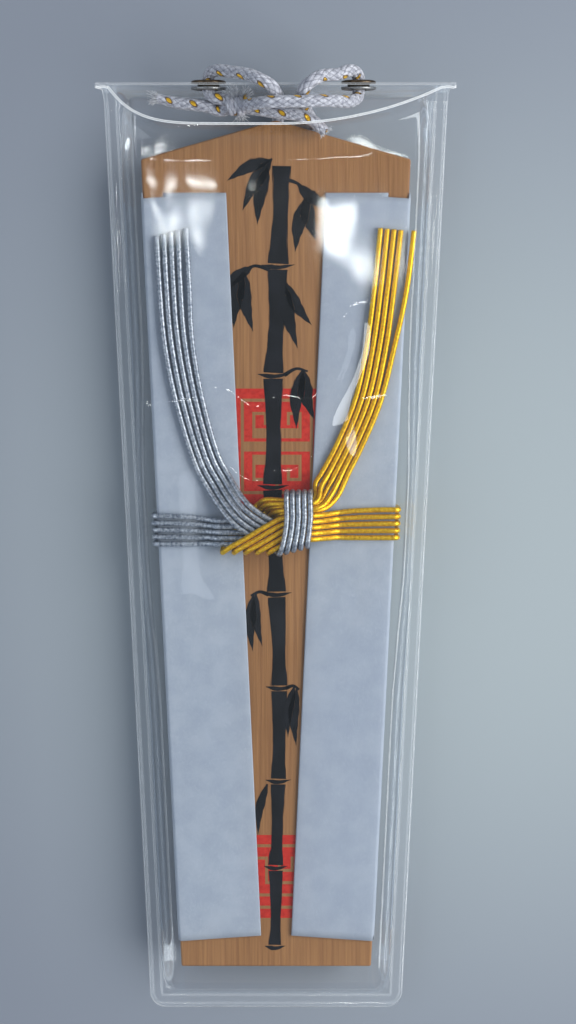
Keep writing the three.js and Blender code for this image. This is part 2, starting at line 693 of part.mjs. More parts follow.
const leftRun = [
  [-8.5, 70, 9.9], [-9.5, 70.3, 9.6], [-10.2, 70.9, 9.3], [-10.35, 71.8, 9.2], [-10.35, 73.1, 9.3],
  [-10, 73.95, 9.7], [-9.1, 74.15, 10.5], [-8.2, 74.1, 11.2], [-7, 73.8, 12.1],
  [-5.4, 73.45, 13.2], [-3.9, 73.05, 14.2], [-2.6, 72.4, 15.1], [-1.6, 71.85, 15.35],
  [-0.75, 71.4, 15.2], [-0.35, 70.95, 14.95], [-0.1, 70.55, 14.4], [0.1, 70.38, 13.4],
  [0.3, 70.3, 11.4], [0.4, 70.35, 9.2], [0.4, 70.35, 7.5],
];
const rightRun = [
  [-4.4, 68.8, 11.6], [-3, 68.8, 13.6], [-1.5, 68.85, 15.1], [0.1, 68.88, 15.55], [2, 68.9, 15.6],
  [4, 68.9, 15.6], [6, 69, 15.4], [7.7, 69.1, 14.9], [9.4, 69.15, 13.8], [10.9, 69.25, 12.2],
  [12, 69.7, 10.6], [12.6, 70.4, 9.5], [12.75, 71.2, 9.2], [12.75, 72, 9.2], [12.75, 73.1, 9.3],
  [12.5, 73.85, 9.6], [11.7, 74.15, 10.5], [10.8, 73.95, 11.5], [9.8, 73.4, 12.4],
  [8.6, 73.15, 13.3], [7.2, 72.95, 14.2], [6.2, 72.45, 15], [5.4, 71.9, 15.35],
  [4.75, 71.4, 15.2], [4.4, 70.95, 14.95], [4.2, 70.55, 14.4], [4.1, 70.38, 13.4],
  [4.1, 70.3, 11.4], [4.2, 70.35, 9.2], [4.25, 70.35, 7.5],
];
const tuckedLoop = [
  [0.4, 70.3, 7.2], [0.4, 70.3, 5.4], [0.3, 70.2, 3.5], [0.3, 69.4, 2.0], [0.3, 67.6, cordFloorZ],
  [0, 63, cordFloorZ], [-1.5, 54, cordFloorZ], [-3.5, 43, cordFloorZ], [-5.0, 32, cordFloorZ],
  [-4.6, 23, cordFloorZ], [-1.6, 17.6, cordFloorZ], [3.0, 17.4, cordFloorZ], [6.6, 22, cordFloorZ],
  [8.0, 32, cordFloorZ], [8.4, 43, cordFloorZ], [8.4, 54, cordFloorZ], [7.6, 62, cordFloorZ],
  [6.2, 66.6, cordFloorZ], [4.9, 69.0, 2.0], [4.4, 70.1, 3.5], [4.3, 70.3, 5.4], [4.25, 70.3, 7.2],
];
const plainTail = [
  [-8.6, 68.4, 8.2], [-10.6, 69, 8.4], [-12.6, 69.3, 8.3], [-14.6, 69.5, 8.1], [-16.6, 69.9, 7.9],
  [-18.4, 70.3, 7.8],
];
const frayedTail = [
  [-2.9, 68.42, 9.55], [-1.6, 68.2, 9.8], [0.2, 67.9, 10], [2.2, 67.7, 10.05],
  [4.2, 67.35, 10], [6, 66.5, 9.6], [7.1, 65.6, 9], [7.5, 65.2, 8.7],
];

const CORD_STEPS_PER_SPAN = 3;
const CORD_SAG = 0.08;

function makeCord() {
  const runs = {
    cord_left_run: leftRun,
    cord_right_run: rightRun,
    cord_tucked_loop: tuckedLoop,
    cord_plain_tail: plainTail,
    cord_frayed_tail: frayedTail,
  };
  for (const [name, route] of Object.entries(runs)) {
    const tube = tubeAlong(
      route, cordRadius, CORD_SIDES, CORD_STEPS_PER_SPAN, CORD_SAG,
    );
    cordMeshes.push(addPiece(name, tube, cordMaterial));
  }
  const knot = new THREE.SphereGeometry(1, KNOT_SEGMENTS, KNOT_SEGMENTS);
  knot.scale(KNOT_LENGTH / 2, KNOT_DEPTH / 2, KNOT_HEIGHT / 2);
  knot.translate(...KNOT_PLACE);
  cordMeshes.push(addPiece('cord_knot', knot, cordMaterial));
}

makeTablet();
makePaper();
makeStrands('silver', silverRibbon, silverEnds, silverMaterial);
makeStrands('gold', goldRibbon, goldEnds, goldMaterial);
makePouch();
makeEyelets();
makeCord();

// The origin is the middle of the underside of the charm's box, without its cord
const box = new THREE.Box3();
for (const mesh of charm.children) {
  if (!cordMeshes.includes(mesh)) box.expandByObject(mesh);
}
charm.position.set(-(box.min.x + box.max.x) / 2, -(box.min.y + box.max.y) / 2, -box.min.z);
charm.updateMatrixWorld(true);

export default charm;
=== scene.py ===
import json
import math
import random

import bmesh
import bpy
from mathutils import Matrix, Vector, noise

# Omamori charm, dressed for its close view: bare cypress tablet, folded white paper, silver and
# gold foil paper cords, clear welded film, dark bronze eyelets and a white braided hanging cord.
# Sizes are in millimetres in the charm's own axes; at() turns them into metres in the row frame.
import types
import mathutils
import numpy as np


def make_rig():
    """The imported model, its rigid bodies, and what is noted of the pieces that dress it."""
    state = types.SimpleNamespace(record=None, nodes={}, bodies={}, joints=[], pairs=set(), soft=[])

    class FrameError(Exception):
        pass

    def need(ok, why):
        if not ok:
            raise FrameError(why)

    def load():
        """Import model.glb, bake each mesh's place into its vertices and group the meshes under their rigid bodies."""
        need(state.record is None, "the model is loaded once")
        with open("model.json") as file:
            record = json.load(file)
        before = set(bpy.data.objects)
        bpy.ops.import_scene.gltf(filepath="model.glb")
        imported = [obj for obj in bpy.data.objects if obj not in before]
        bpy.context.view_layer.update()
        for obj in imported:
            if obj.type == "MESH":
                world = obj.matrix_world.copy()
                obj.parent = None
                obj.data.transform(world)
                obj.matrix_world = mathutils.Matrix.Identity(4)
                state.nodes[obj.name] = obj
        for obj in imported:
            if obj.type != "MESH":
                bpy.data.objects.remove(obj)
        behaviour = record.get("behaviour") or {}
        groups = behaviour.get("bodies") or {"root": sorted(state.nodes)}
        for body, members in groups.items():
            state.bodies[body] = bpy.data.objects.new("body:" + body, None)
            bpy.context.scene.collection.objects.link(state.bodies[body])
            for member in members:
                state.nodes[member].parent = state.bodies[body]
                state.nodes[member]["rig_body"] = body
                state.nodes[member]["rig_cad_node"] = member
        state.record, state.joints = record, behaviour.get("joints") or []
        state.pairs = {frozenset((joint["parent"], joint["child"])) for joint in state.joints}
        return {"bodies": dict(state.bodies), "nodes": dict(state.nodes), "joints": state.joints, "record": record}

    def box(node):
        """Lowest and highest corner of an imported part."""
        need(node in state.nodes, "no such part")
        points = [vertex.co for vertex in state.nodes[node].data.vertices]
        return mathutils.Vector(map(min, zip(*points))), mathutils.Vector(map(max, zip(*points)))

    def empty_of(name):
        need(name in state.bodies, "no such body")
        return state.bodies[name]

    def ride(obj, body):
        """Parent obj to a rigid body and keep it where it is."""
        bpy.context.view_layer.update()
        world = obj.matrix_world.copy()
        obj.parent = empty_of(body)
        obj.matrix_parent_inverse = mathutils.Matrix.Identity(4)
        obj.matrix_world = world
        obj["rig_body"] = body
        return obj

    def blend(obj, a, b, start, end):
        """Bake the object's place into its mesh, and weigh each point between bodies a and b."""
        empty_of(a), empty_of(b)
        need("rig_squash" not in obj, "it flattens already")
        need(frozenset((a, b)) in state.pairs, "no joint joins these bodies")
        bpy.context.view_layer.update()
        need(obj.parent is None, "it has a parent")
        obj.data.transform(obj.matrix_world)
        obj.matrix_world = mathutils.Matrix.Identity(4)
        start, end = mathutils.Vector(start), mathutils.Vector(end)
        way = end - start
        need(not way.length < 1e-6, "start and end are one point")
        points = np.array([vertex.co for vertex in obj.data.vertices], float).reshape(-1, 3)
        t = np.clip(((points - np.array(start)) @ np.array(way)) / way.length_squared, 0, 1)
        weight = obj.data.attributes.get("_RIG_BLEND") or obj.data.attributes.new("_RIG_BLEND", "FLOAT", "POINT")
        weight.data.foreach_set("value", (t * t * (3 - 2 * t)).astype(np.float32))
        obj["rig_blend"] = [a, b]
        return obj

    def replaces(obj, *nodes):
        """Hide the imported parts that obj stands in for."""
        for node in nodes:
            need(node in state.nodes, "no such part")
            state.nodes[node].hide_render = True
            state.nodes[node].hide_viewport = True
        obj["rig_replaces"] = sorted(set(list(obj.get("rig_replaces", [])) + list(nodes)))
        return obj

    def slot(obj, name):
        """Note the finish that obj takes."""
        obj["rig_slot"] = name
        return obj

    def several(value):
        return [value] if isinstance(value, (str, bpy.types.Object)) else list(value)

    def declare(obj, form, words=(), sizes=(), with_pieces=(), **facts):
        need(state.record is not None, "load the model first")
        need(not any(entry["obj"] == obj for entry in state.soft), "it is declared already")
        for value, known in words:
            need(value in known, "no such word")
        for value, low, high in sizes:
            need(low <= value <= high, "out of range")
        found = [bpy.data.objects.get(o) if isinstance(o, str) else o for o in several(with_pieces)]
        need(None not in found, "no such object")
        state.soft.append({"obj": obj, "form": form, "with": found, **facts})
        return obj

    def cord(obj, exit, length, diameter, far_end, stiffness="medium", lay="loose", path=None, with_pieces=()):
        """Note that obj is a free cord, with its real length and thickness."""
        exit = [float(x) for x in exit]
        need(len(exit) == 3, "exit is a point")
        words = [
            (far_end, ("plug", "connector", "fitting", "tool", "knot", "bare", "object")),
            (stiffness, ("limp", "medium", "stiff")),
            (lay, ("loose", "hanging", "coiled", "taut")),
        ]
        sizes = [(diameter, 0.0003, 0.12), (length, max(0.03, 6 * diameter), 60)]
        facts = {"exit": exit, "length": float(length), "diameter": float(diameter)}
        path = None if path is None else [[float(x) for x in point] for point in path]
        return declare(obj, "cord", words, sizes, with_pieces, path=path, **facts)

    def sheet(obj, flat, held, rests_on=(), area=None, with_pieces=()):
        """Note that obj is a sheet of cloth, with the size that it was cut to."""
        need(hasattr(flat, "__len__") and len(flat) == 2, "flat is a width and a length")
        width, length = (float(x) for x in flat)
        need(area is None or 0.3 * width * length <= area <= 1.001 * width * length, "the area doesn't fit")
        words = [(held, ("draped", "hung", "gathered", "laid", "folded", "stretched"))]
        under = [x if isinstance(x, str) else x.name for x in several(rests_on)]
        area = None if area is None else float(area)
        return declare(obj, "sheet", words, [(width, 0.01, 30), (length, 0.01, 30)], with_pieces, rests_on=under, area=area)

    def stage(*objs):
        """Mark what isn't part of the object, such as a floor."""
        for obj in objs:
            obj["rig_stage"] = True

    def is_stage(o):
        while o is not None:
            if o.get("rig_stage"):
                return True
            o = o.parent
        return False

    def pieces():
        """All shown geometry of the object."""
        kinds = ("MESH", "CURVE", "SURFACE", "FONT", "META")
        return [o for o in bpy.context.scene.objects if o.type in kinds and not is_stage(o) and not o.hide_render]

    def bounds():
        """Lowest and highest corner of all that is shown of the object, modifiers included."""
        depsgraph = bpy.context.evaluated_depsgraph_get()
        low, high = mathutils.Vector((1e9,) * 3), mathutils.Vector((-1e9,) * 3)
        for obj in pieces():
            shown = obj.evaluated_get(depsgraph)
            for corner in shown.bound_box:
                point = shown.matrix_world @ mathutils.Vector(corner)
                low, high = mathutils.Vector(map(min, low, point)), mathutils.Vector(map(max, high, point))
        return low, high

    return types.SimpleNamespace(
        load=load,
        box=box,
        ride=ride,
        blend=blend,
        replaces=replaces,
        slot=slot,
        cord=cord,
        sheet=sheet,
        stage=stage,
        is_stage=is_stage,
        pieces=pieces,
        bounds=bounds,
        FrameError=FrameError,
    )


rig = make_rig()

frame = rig.load()
cad_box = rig.bounds()

# Wooden tablet
TABLET_LENGTH = 134.2
TABLET_SHOULDER_WIDTH = 42
TABLET_FOOT_WIDTH = 30.4
TABLET_GABLE_RISE = 6
TABLET_THICKNESS = 4
TABLET_BACK_Z = 2.9
TABLET_EDGE_ROUNDING = 0.3

FOOT_Y = -TABLET_LENGTH / 2
APEX_Y = TABLET_LENGTH / 2
SHOULDER_Y = APEX_Y - TABLET_GABLE_RISE
TAPER_SLOPE = (TABLET_SHOULDER_WIDTH - TABLET_FOOT_WIDTH) / 2 / (SHOULDER_Y - FOOT_Y)
TABLET_FACE_Z = TABLET_BACK_Z + TABLET_THICKNESS

# Drawing and stamps on the tablet
INK_LIFT = 0.035
INK_LAYER_STEP = 0.004
STROKE_COLUMNS = 4
STAMP_LIFT = 0.015
STAMP_GAP = 0.5
STAMP_PLACES = {"upper": ((0.15, 16.4), (14.0, 18.2)), "lower": ((-0.5, -52.4), (13.8, 13.5))}

# Paper wrapper
PAPER_THICKNESS = 0.2
PAPER_GAP = 0.1
LAYER_GAP = 0.05
FLAP_WIDTH = 12.9
DOUBLED_WIDTH = 9.7
FLAP_RISE = 0.9
PAPER_TOP_Y = 55.0
PAPER_BOTTOM_Y = -62.8
PAPER_BACK_Z = 2.65
PAPER_FACE_Z = 7.4
PAPER_FOLD_RADIUS = 0.5
PAPER_WAVE = 0.04
PAPER_ROWS = 96
PAPER_THICKNESS_SHARE = 0.85

# Paper cords of the tie
STRAND_DIAMETER = 0.85
STRAND_FACE_Z = 7.885
STRAND_BACK_Z = 2.165
LEVEL_RISE = 0.9
STRAND_SIDES = 14
STRAND_RING_SPACING = 0.3
STRAND_GAP = 0.06
STRAND_WIND = 0.012
STRAND_WIND_LENGTH = 1.25
FOIL_STRIP_WIDTH = 0.62
BUTT_GAP = 0.1

# Clear film
SHEET_THICKNESS = 0.35
WELD_WIDTH = 2.1
WELD_GAP = 0.1
WELD_HEIGHT = 3.8
WELD_FOOT_Y = -72.5
WELD_RIDGES = (0.5, 1.85)
WELD_RIDGE_WIDTH = 0.16
WELD_RIDGE_HEIGHT = 0.09
OUTER_FOOT_Y = -74.6
CURL_START_Y = 60.5
WALL_ROOT_Y = 72.2
WALL_TOP_Y = 71.5
LIP_Y = 66.0
HEADER_HEIGHT = 14
BACK_BEND_RADIUS = 4.8
SEAM_BEND_RADIUS = 3
LIP_BEND_RADIUS = 5.3
FACE_INNER_Z = 8.71
KNOT_BULGE = 3.5
KNOT_BULGE_REACH = 6.4
KNOT_BULGE_FALL = 13
BULGE_WANDER = 3.2
TIE_Y = 4
TIE_REACH = 5
TIE_MARGIN = 0.9
TIE_MARGIN_FALL = 26
FOOT_SIDE_MARGIN = 5.1
MOUTH_SIDE_MARGIN = 6.4
SHOULDER_MARGIN = 0.7
TENT_LENGTH = 5.3
GAPE_LEFT_POWER = 6.5
GAPE_RIGHT_POWER = 2.1
FOOT_CORNER_RADIUS = 2.4
FILM_WAVE = 0.05
FILM_IOR = 1.47
FILM_SHINE_GAIN = 1.4

# A soft fold in the front film, from beside the gold ends down to the tie
FOLD_LINE = [
    (12.4, 38.6), (13.3, 35.0), (13.1, 31.5), (12.0, 28.3), (10.6, 25.2), (9.0, 22.2), (7.5, 19.5),
    (6.2, 16.8), (5.3, 14.2), (4.7, 11.5),
]
FOLD_HEIGHT = 0.75
FOLD_LEFT_WIDTH = 1.8
FOLD_RIGHT_WIDTH = 1.2
FOLD_FADE = 5.0

# Eyelets
EYELET_XS = {"left": -10.35, "right": 12.75}
EYELET_Y = 71.88
EYELET_Z = 9.2
EYELET_HOLE_RADIUS = 1.5
EYELET_BARREL_WALL = 0.2
EYELET_FLANGE_RADIUS = 2.7
EYELET_FLANGE_THICKNESS = 0.5
WASHER_THICKNESS = 0.45
EYELET_FIT_GAP = 0.1
EYELET_SEGMENTS = 64
EYELET_EDGE = 0.1
WALL_LEAN = math.radians(4.52)

# Hanging cord
CORD_DIAMETER = 2.0
CORD_SIDES = 40
CORD_RING_SPACING = 0.25
BRAID_STRANDS = 6
BRAID_ADVANCE = 9.0
BRAID_SINK = 0.13
BRAID_HUMP = 0.1
FLECK_SPACING = 3.9
FLECK_HALF_SIZE = (0.84, 0.42)
FLECK_SLANT = (0.77, 0.64)
KNOT_SIDES = 32
KNOT_RING_SPACING = 0.2
KNOT_CORD_SHARE = 0.88
KNOT_TURNS = 2.35
KNOT_START_TURN = -0.1
KNOT_HALF_SIZE = (1.45, 0.92, 1.02)
KNOT_POINTS = 48
TAIL_TAPER_LENGTH = 4
FIBRE_RADIUS = 0.035
FIBRE_SIDES = 3

# Camera, floor and lamps, in metres, degrees and watts
CAMERA_PLACE = (0.00189, 0.03159, 0.32128)
CAMERA_TIP = -4.5
CAMERA_LENS = 46.88
CAMERA_SENSOR_HEIGHT = 24
FLOOR_SIZE = 3.0
FLOOR_DROP = 0.00012
WINDOW = {"place": (0.42, 0.03, 0.3), "size": (0.6, 0.28), "power": 3.9, "tint": (1.0, 0.985, 0.94)}
FILL = {"place": (-0.7, -0.1, 0.6), "size": (0.7, 0.7), "power": 2.2, "tint": (0.92, 0.96, 1.0)}
GLEAM_HEIGHT = 0.62
GLEAM_TINT = (1.0, 0.98, 0.9)
GLEAM_NEIGHBOURS = 0.0018
WORLD_STRENGTH = 0.72

QUARTER = math.pi / 2

# Where the charm stands in the row frame, from the tablet's packed box
tablet_low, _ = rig.box("wooden_tablet")
ROW_SHIFT = tablet_low - Vector((-TABLET_SHOULDER_WIDTH / 2, FOOT_Y, TABLET_BACK_Z)) / 1000


def at(x, y, z):
    """A point of the charm, in metres in the row frame."""
    return Vector((x, y, z)) / 1000 + ROW_SHIFT


def half_width(y):
    """Half the tablet's width at a height along it."""
    return TABLET_FOOT_WIDTH / 2 + (y - FOOT_Y) * TAPER_SLOPE


def mix(a, b, share):
    return a + (b - a) * share


def clamp(share):
    return min(1.0, max(0.0, share))


def ease(share):
    """0 to 1, smooth at both ends."""
    share = clamp(share)
    return share * share * (3 - 2 * share)


def ease_bump(distance, reach, fall):
    """1 as far as its reach on both sides of 0, then down to 0, smooth at both ends."""
    return (1 + math.cos(math.pi * clamp((abs(distance) - reach) / fall))) / 2


def arc(centre, radius, start, end, steps=24):
    """Points of an arc from one angle to another."""
    angles = [mix(start, end, k / steps) for k in range(steps + 1)]
    return [(centre[0] + radius * math.cos(a), centre[1] + radius * math.sin(a)) for a in angles]


# ---------------------------------------------------------------- routes


def smooth_route(points, steps=14):
    """A centripetal curve through a route's points, as close points."""
    points = [Vector(p) for p in points]
    fine = []
    for k in range(len(points) - 1):
        p1, p2 = points[k], points[k + 1]
        p0 = points[k - 1] if k > 0 else 2 * p1 - p2
        p3 = points[k + 2] if k + 2 < len(points) else 2 * p2 - p1
        d0, d1, d2 = ((b - a).length ** 0.5 for a, b in ((p0, p1), (p1, p2), (p2, p3)))
        d0, d2 = d0 or d1, d2 or d1
        t1 = ((p1 - p0) / d0 - (p2 - p0) / (d0 + d1) + (p2 - p1) / d1) * d1
        t2 = ((p2 - p1) / d1 - (p3 - p1) / (d1 + d2) + (p3 - p2) / d2) * d1
        for s in range(steps):
            t = s / steps
            cubic = 2 * p1 - 2 * p2 + t1 + t2
            square = -3 * p1 + 3 * p2 - 2 * t1 - t2
            fine.append(p1 + t1 * t + square * t * t + cubic * t * t * t)
    fine.append(points[-1])
    return fine


def lengths_along(points, start=0.0):
    """The length gone at each point of a line."""
    gone = [start]
    for a, b in zip(points, points[1:]):
        gone.append(gone[-1] + (b - a).length)
    return gone


def even_route(points, spacing):
    """The same line with its points an even distance apart, and its whole length."""
    gone = lengths_along(points)
    count = max(2, round(gone[-1] / spacing))
    even, k = [], 0
    for s in range(count + 1):
        want = gone[-1] * s / count
        while k < len(gone) - 2 and gone[k + 1] < want:
            k += 1
        span = gone[k + 1] - gone[k] or 1.0
        even.append(points[k].lerp(points[k + 1], (want - gone[k]) / span))
    return even, gone[-1]


# Silver and gold routes for the middle strand of each: x, y, level above the paper, the step to
# the next strand in x and y, and how far every other strand is lifted, in levels. The loose ends
# follow: x as a share of the tablet's half width, y, the step to the next strand in x and y, and
# how far the outermost strand strays from the others.
SILVER_RIBBON = [
    (-17.2, 3.3, 0, 0, 1.1, 0), (-13, 3.2, 0, 0, 1.05, 0), (-11.2, 3.1, 0, 0, 0.96, 0),
    (-10.2, 3.05, 0.35, 0, 0.93, 0), (-9.2, 3.0, 0.95, 0, 0.92, 0), (-8, 3.0, 1, 0, 0.92, 0),
    (-4, 3.0, 1, 0, 0.92, 0), (-1, 3.0, 1, 0, 0.92, 0), (0.8, 2.98, 1, 0, 0.93, 0),
    (2.25, 3.36, 1, -0.46, 0.8, 0), (3.24, 4.35, 1, -0.8, 0.46, 0), (3.6, 5.7, 1, -0.92, 0, 0),
    (3.6, 8.2, 1, -0.92, 0, 0), (3.6, 9.1, 1.3, -0.92, 0, 0), (3.55, 9.5, 2.4, -0.92, 0, 0),
    (3.5, 9.1, 3.6, -0.92, 0, 0), (3.5, 7.8, 4, -0.92, 0, 0), (3.55, 5.5, 4, -0.92, 0, 0),
    (3.3, 3.0, 4, -0.92, 0.02, 0), (2.95, 1.25, 4, -1.0, -0.2, 0), (2.75, 0.38, 3.2, -1.1, -0.3, 0),
    (2.4, 0.7, 2.1, -1.08, -0.36, 0), (1.3, 1.6, 2, -0.75, -0.6, 0), (-0.8, 2.9, 2, -0.5, -0.78, 0),
    (-3.4, 4.4, 2, -0.52, -0.77, 0), (-5.6, 6.1, 2, -0.62, -0.7, 0),
    (-7.4, 8.3, 1.2, -0.74, -0.58, 0), (-9.1, 11.0, 0, -0.82, -0.5, 0),
    (-10.7, 14.0, 0, -0.88, -0.38, 0),
]
GOLD_RIBBON = [
    (17.2, 4.3, 0, 0, 1.1, 0), (12, 4.2, 0, 0, 1.05, 0), (9.7, 4.1, 0.1, 0, 0.97, 0),
    (8.3, 4.0, 1, 0, 0.94, 0), (7.0, 3.95, 2.2, 0, 0.92, 0), (5.7, 3.9, 2.9, 0, 0.92, 0),
    (4.0, 3.9, 3, 0, 0.92, 0), (2.6, 3.85, 3, 0, 0.92, 0), (1.3, 3.5, 3, -0.25, 0.9, 0),
    (-0.4, 2.55, 3, -0.7, 0.7, 0), (-2.2, 1.5, 3, -1.2, 0.38, 0), (-3.8, 0.6, 3, -1.6, 0.15, 0),
    (-4.5, 0.1, 2.4, -1.75, 0.05, 0), (-4.75, -0.15, 1.5, -1.8, 0.02, 0),
    (-4.75, 0.15, 0.5, -1.8, 0, 0), (-4.4, 1.2, 0, -1.75, 0, 0), (-3.2, 3.8, 0, -1.25, 0.1, 0),
    (-2.1, 5.6, 0, -0.85, 0.4, 0), (-1.45, 6.35, 0, -0.7, 0.5, 0.3),
    (-0.7, 6.85, 0.8, -0.5, 0.62, 0.9),
    (0.9, 7.1, 1.95, 0, 0.52, 1), (3.0, 7.1, 2, 0, 0.5, 1), (4.8, 7.15, 2, -0.05, 0.5, 1),
    (6.1, 7.35, 1.95, -0.1, 0.43, 1), (7.1, 8.0, 1.3, -0.42, 0.5, 1.1),
    (7.9, 9.6, 0.5, -0.85, 0.5, 0.9), (8.8, 11.2, 0.1, -0.86, 0.45, 0.3),
    (9.8, 13.2, 0, -0.8, 0.45, 0), (11.5, 16.6, 0, -0.85, 0.35, 0),
]
SILVER_ENDS = [
    (-0.704, 23.7, -1.0, -0.2, 0), (-0.776, 33, -1.05, -0.1, 0.1), (-0.794, 42, -1.08, -0.05, 0.3),
    (-0.796, 49.8, -1.1, -0.3, 0.1),
]
GOLD_ENDS = [
    (0.746, 23.7, -0.95, 0.2, 0), (0.823, 32, -1.0, 0.12, 0.25), (0.866, 41, -1.02, 0.05, 0.95),
    (0.897, 50.2, -1.05, 0.1, 1.0),
]


def strand_route(ribbon, ends, number):
    """One strand, from the middle of the back, round the wrapper's side and along its ribbon."""
    step = number - 2
    lifted = number % 2
    radius_gap = STRAND_DIAMETER / 2 + STRAND_GAP
    diagonal = radius_gap * math.sqrt(0.5)
    hand = math.copysign(1, ribbon[0][0])
    y = ribbon[0][1] + step * ribbon[0][4]
    corner = half_width(y) + PAPER_GAP + PAPER_THICKNESS
    round_side = [
        (corner - radius_gap, STRAND_BACK_Z), (corner, STRAND_BACK_Z),
        (corner + diagonal, PAPER_BACK_Z - diagonal), (corner + radius_gap, PAPER_BACK_Z),
        (corner + radius_gap, PAPER_BACK_Z + radius_gap),
        (corner + radius_gap, PAPER_FACE_Z - radius_gap), (corner + radius_gap, PAPER_FACE_Z),
        (corner + diagonal, PAPER_FACE_Z + diagonal), (corner, STRAND_FACE_Z),
        (corner - radius_gap, STRAND_FACE_Z),
    ]
    route = [(hand * BUTT_GAP / 2, y, STRAND_BACK_Z)]
    route += [(hand * x, y, z) for x, z in round_side]
    for x, row_y, level, step_x, step_y, lift in ribbon:
        height = STRAND_FACE_Z + (level + lifted * lift) * LEVEL_RISE
        route.append((x + step * step_x, row_y + step * step_y, height))
    for share, row_y, step_x, step_y, apart in ends:
        x = share * half_width(row_y) + step * step_x + (apart if number == 0 else 0)
        route.append((x, row_y + step * step_y, STRAND_FACE_Z))
    return route


# The hanging cord's runs, in the order of the part's solids
CORD_LEFT_RUN = [
    (-8.5, 70, 9.9), (-9.5, 70.3, 9.6), (-10.2, 70.9, 9.3), (-10.35, 71.8, 9.2),
    (-10.35, 73.1, 9.3), (-10, 73.95, 9.7), (-9.1, 74.15, 10.5), (-8.2, 74.1, 11.2),
    (-7, 73.8, 12.1), (-5.4, 73.45, 13.2),
    (-3.9, 73.05, 14.2), (-2.6, 72.4, 15.1), (-1.6, 71.85, 15.35), (-0.75, 71.4, 15.2),
    (-0.35, 70.95, 14.95), (-0.1, 70.55, 14.4), (0.1, 70.38, 13.4), (0.3, 70.3, 11.4),
    (0.4, 70.35, 9.2), (0.4, 70.35, 7.5),
]
CORD_RIGHT_RUN = [
    (-4.4, 68.8, 11.6), (-3, 68.8, 13.6), (-1.5, 68.85, 15.1), (0.1, 68.88, 15.55), (2, 68.9, 15.6),
    (4, 68.9, 15.6), (6, 69, 15.4), (7.7, 69.1, 14.9), (9.4, 69.15, 13.8), (10.9, 69.25, 12.2),
    (12, 69.7, 10.6), (12.6, 70.4, 9.5), (12.75, 71.2, 9.2), (12.75, 72, 9.2), (12.75, 73.1, 9.3),
    (12.5, 73.85, 9.6), (11.7, 74.15, 10.5), (10.8, 73.95, 11.5), (9.8, 73.4, 12.4),
    (8.6, 73.15, 13.3), (7.2, 72.95, 14.2), (6.2, 72.45, 15), (5.4, 71.9, 15.35),
    (4.75, 71.4, 15.2),
    (4.4, 70.95, 14.95), (4.2, 70.55, 14.4), (4.1, 70.38, 13.4), (4.1, 70.3, 11.4),
    (4.2, 70.35, 9.2), (4.25, 70.35, 7.5),
]
CORD_TUCKED_LOOP = [
    (0.4, 70.3, 7.2), (0.4, 70.3, 5.4), (0.3, 70.2, 3.5), (0.3, 69.4, 2.0), (0.3, 67.6, 1.45),
    (0, 63, 1.45), (-1.5, 54, 1.45), (-3.5, 43, 1.45), (-5.0, 32, 1.45), (-4.6, 23, 1.45),
    (-1.6, 17.6, 1.45), (3.0, 17.4, 1.45), (6.6, 22, 1.45), (8.0, 32, 1.45), (8.4, 43, 1.45),
    (8.4, 54, 1.45), (7.6, 62, 1.45), (6.2, 66.6, 1.45), (4.9, 69.0, 2.0), (4.4, 70.1, 3.5),
    (4.3, 70.3, 5.4), (4.25, 70.3, 7.2),
]
CORD_PLAIN_TAIL = [
    (-8.6, 68.4, 8.2), (-10.6, 69, 8.4), (-12.6, 69.3, 8.3), (-14.6, 69.5, 8.1), (-16.6, 69.9, 7.9),
    (-18.4, 70.3, 7.8),
]
CORD_FRAYED_TAIL = [
    (-2.9, 68.42, 9.55), (-1.6, 68.2, 9.8), (0.2, 67.9, 10), (2.2, 67.7, 10.05), (4.2, 67.35, 10),
    (6, 66.5, 9.6), (7.1, 65.6, 9), (7.5, 65.2, 8.7),
]
KNOT_PLACE = (-5.9, 69.1, 9.7)


# ---------------------------------------------------------------- finishes


def colour(red, green, blue):
    """A colour given as it looks on screen, 0 to 255."""
    def light(c):
        c /= 255
        return c / 12.92 if c <= 0.04045 else ((c + 0.055) / 1.055) ** 2.4
    return (light(red), light(green), light(blue), 1.0)


def shader_maths(operation):
    """A method of Value that adds one Math node."""
    def method(self, *others):
        return self.finish.maths(operation, self, *others)
    return method


class Value:
    """A number in a material's nodes; arithmetic on it adds Math nodes."""

    def __init__(self, finish, socket):
        self.finish = finish
        self.socket = socket

    __add__ = shader_maths("ADD")
    __sub__ = shader_maths("SUBTRACT")
    __mul__ = shader_maths("MULTIPLY")
    __truediv__ = shader_maths("DIVIDE")
    __mod__ = shader_maths("FLOORED_MODULO")
    __abs__ = shader_maths("ABSOLUTE")
    power = shader_maths("POWER")
    floor = shader_maths("FLOOR")
    sine = shader_maths("SINE")
    at_least = shader_maths("MAXIMUM")
    at_most = shader_maths("MINIMUM")

    def __rsub__(self, other):
        return self.finish.maths("SUBTRACT", other, self)

    def rise(self, low, high):
        """0 at low, 1 at high, smooth between; low may be the higher one."""
        settings = {"interpolation_type": "SMOOTHSTEP"}
        feeds = {"Value": self, "From Min": min(low, high), "From Max": max(low, high)}
        if low > high:
            feeds.update({"To Min": 1.0, "To Max": 0.0})
        return self.finish.out("MapRange", settings, feeds, "Result")


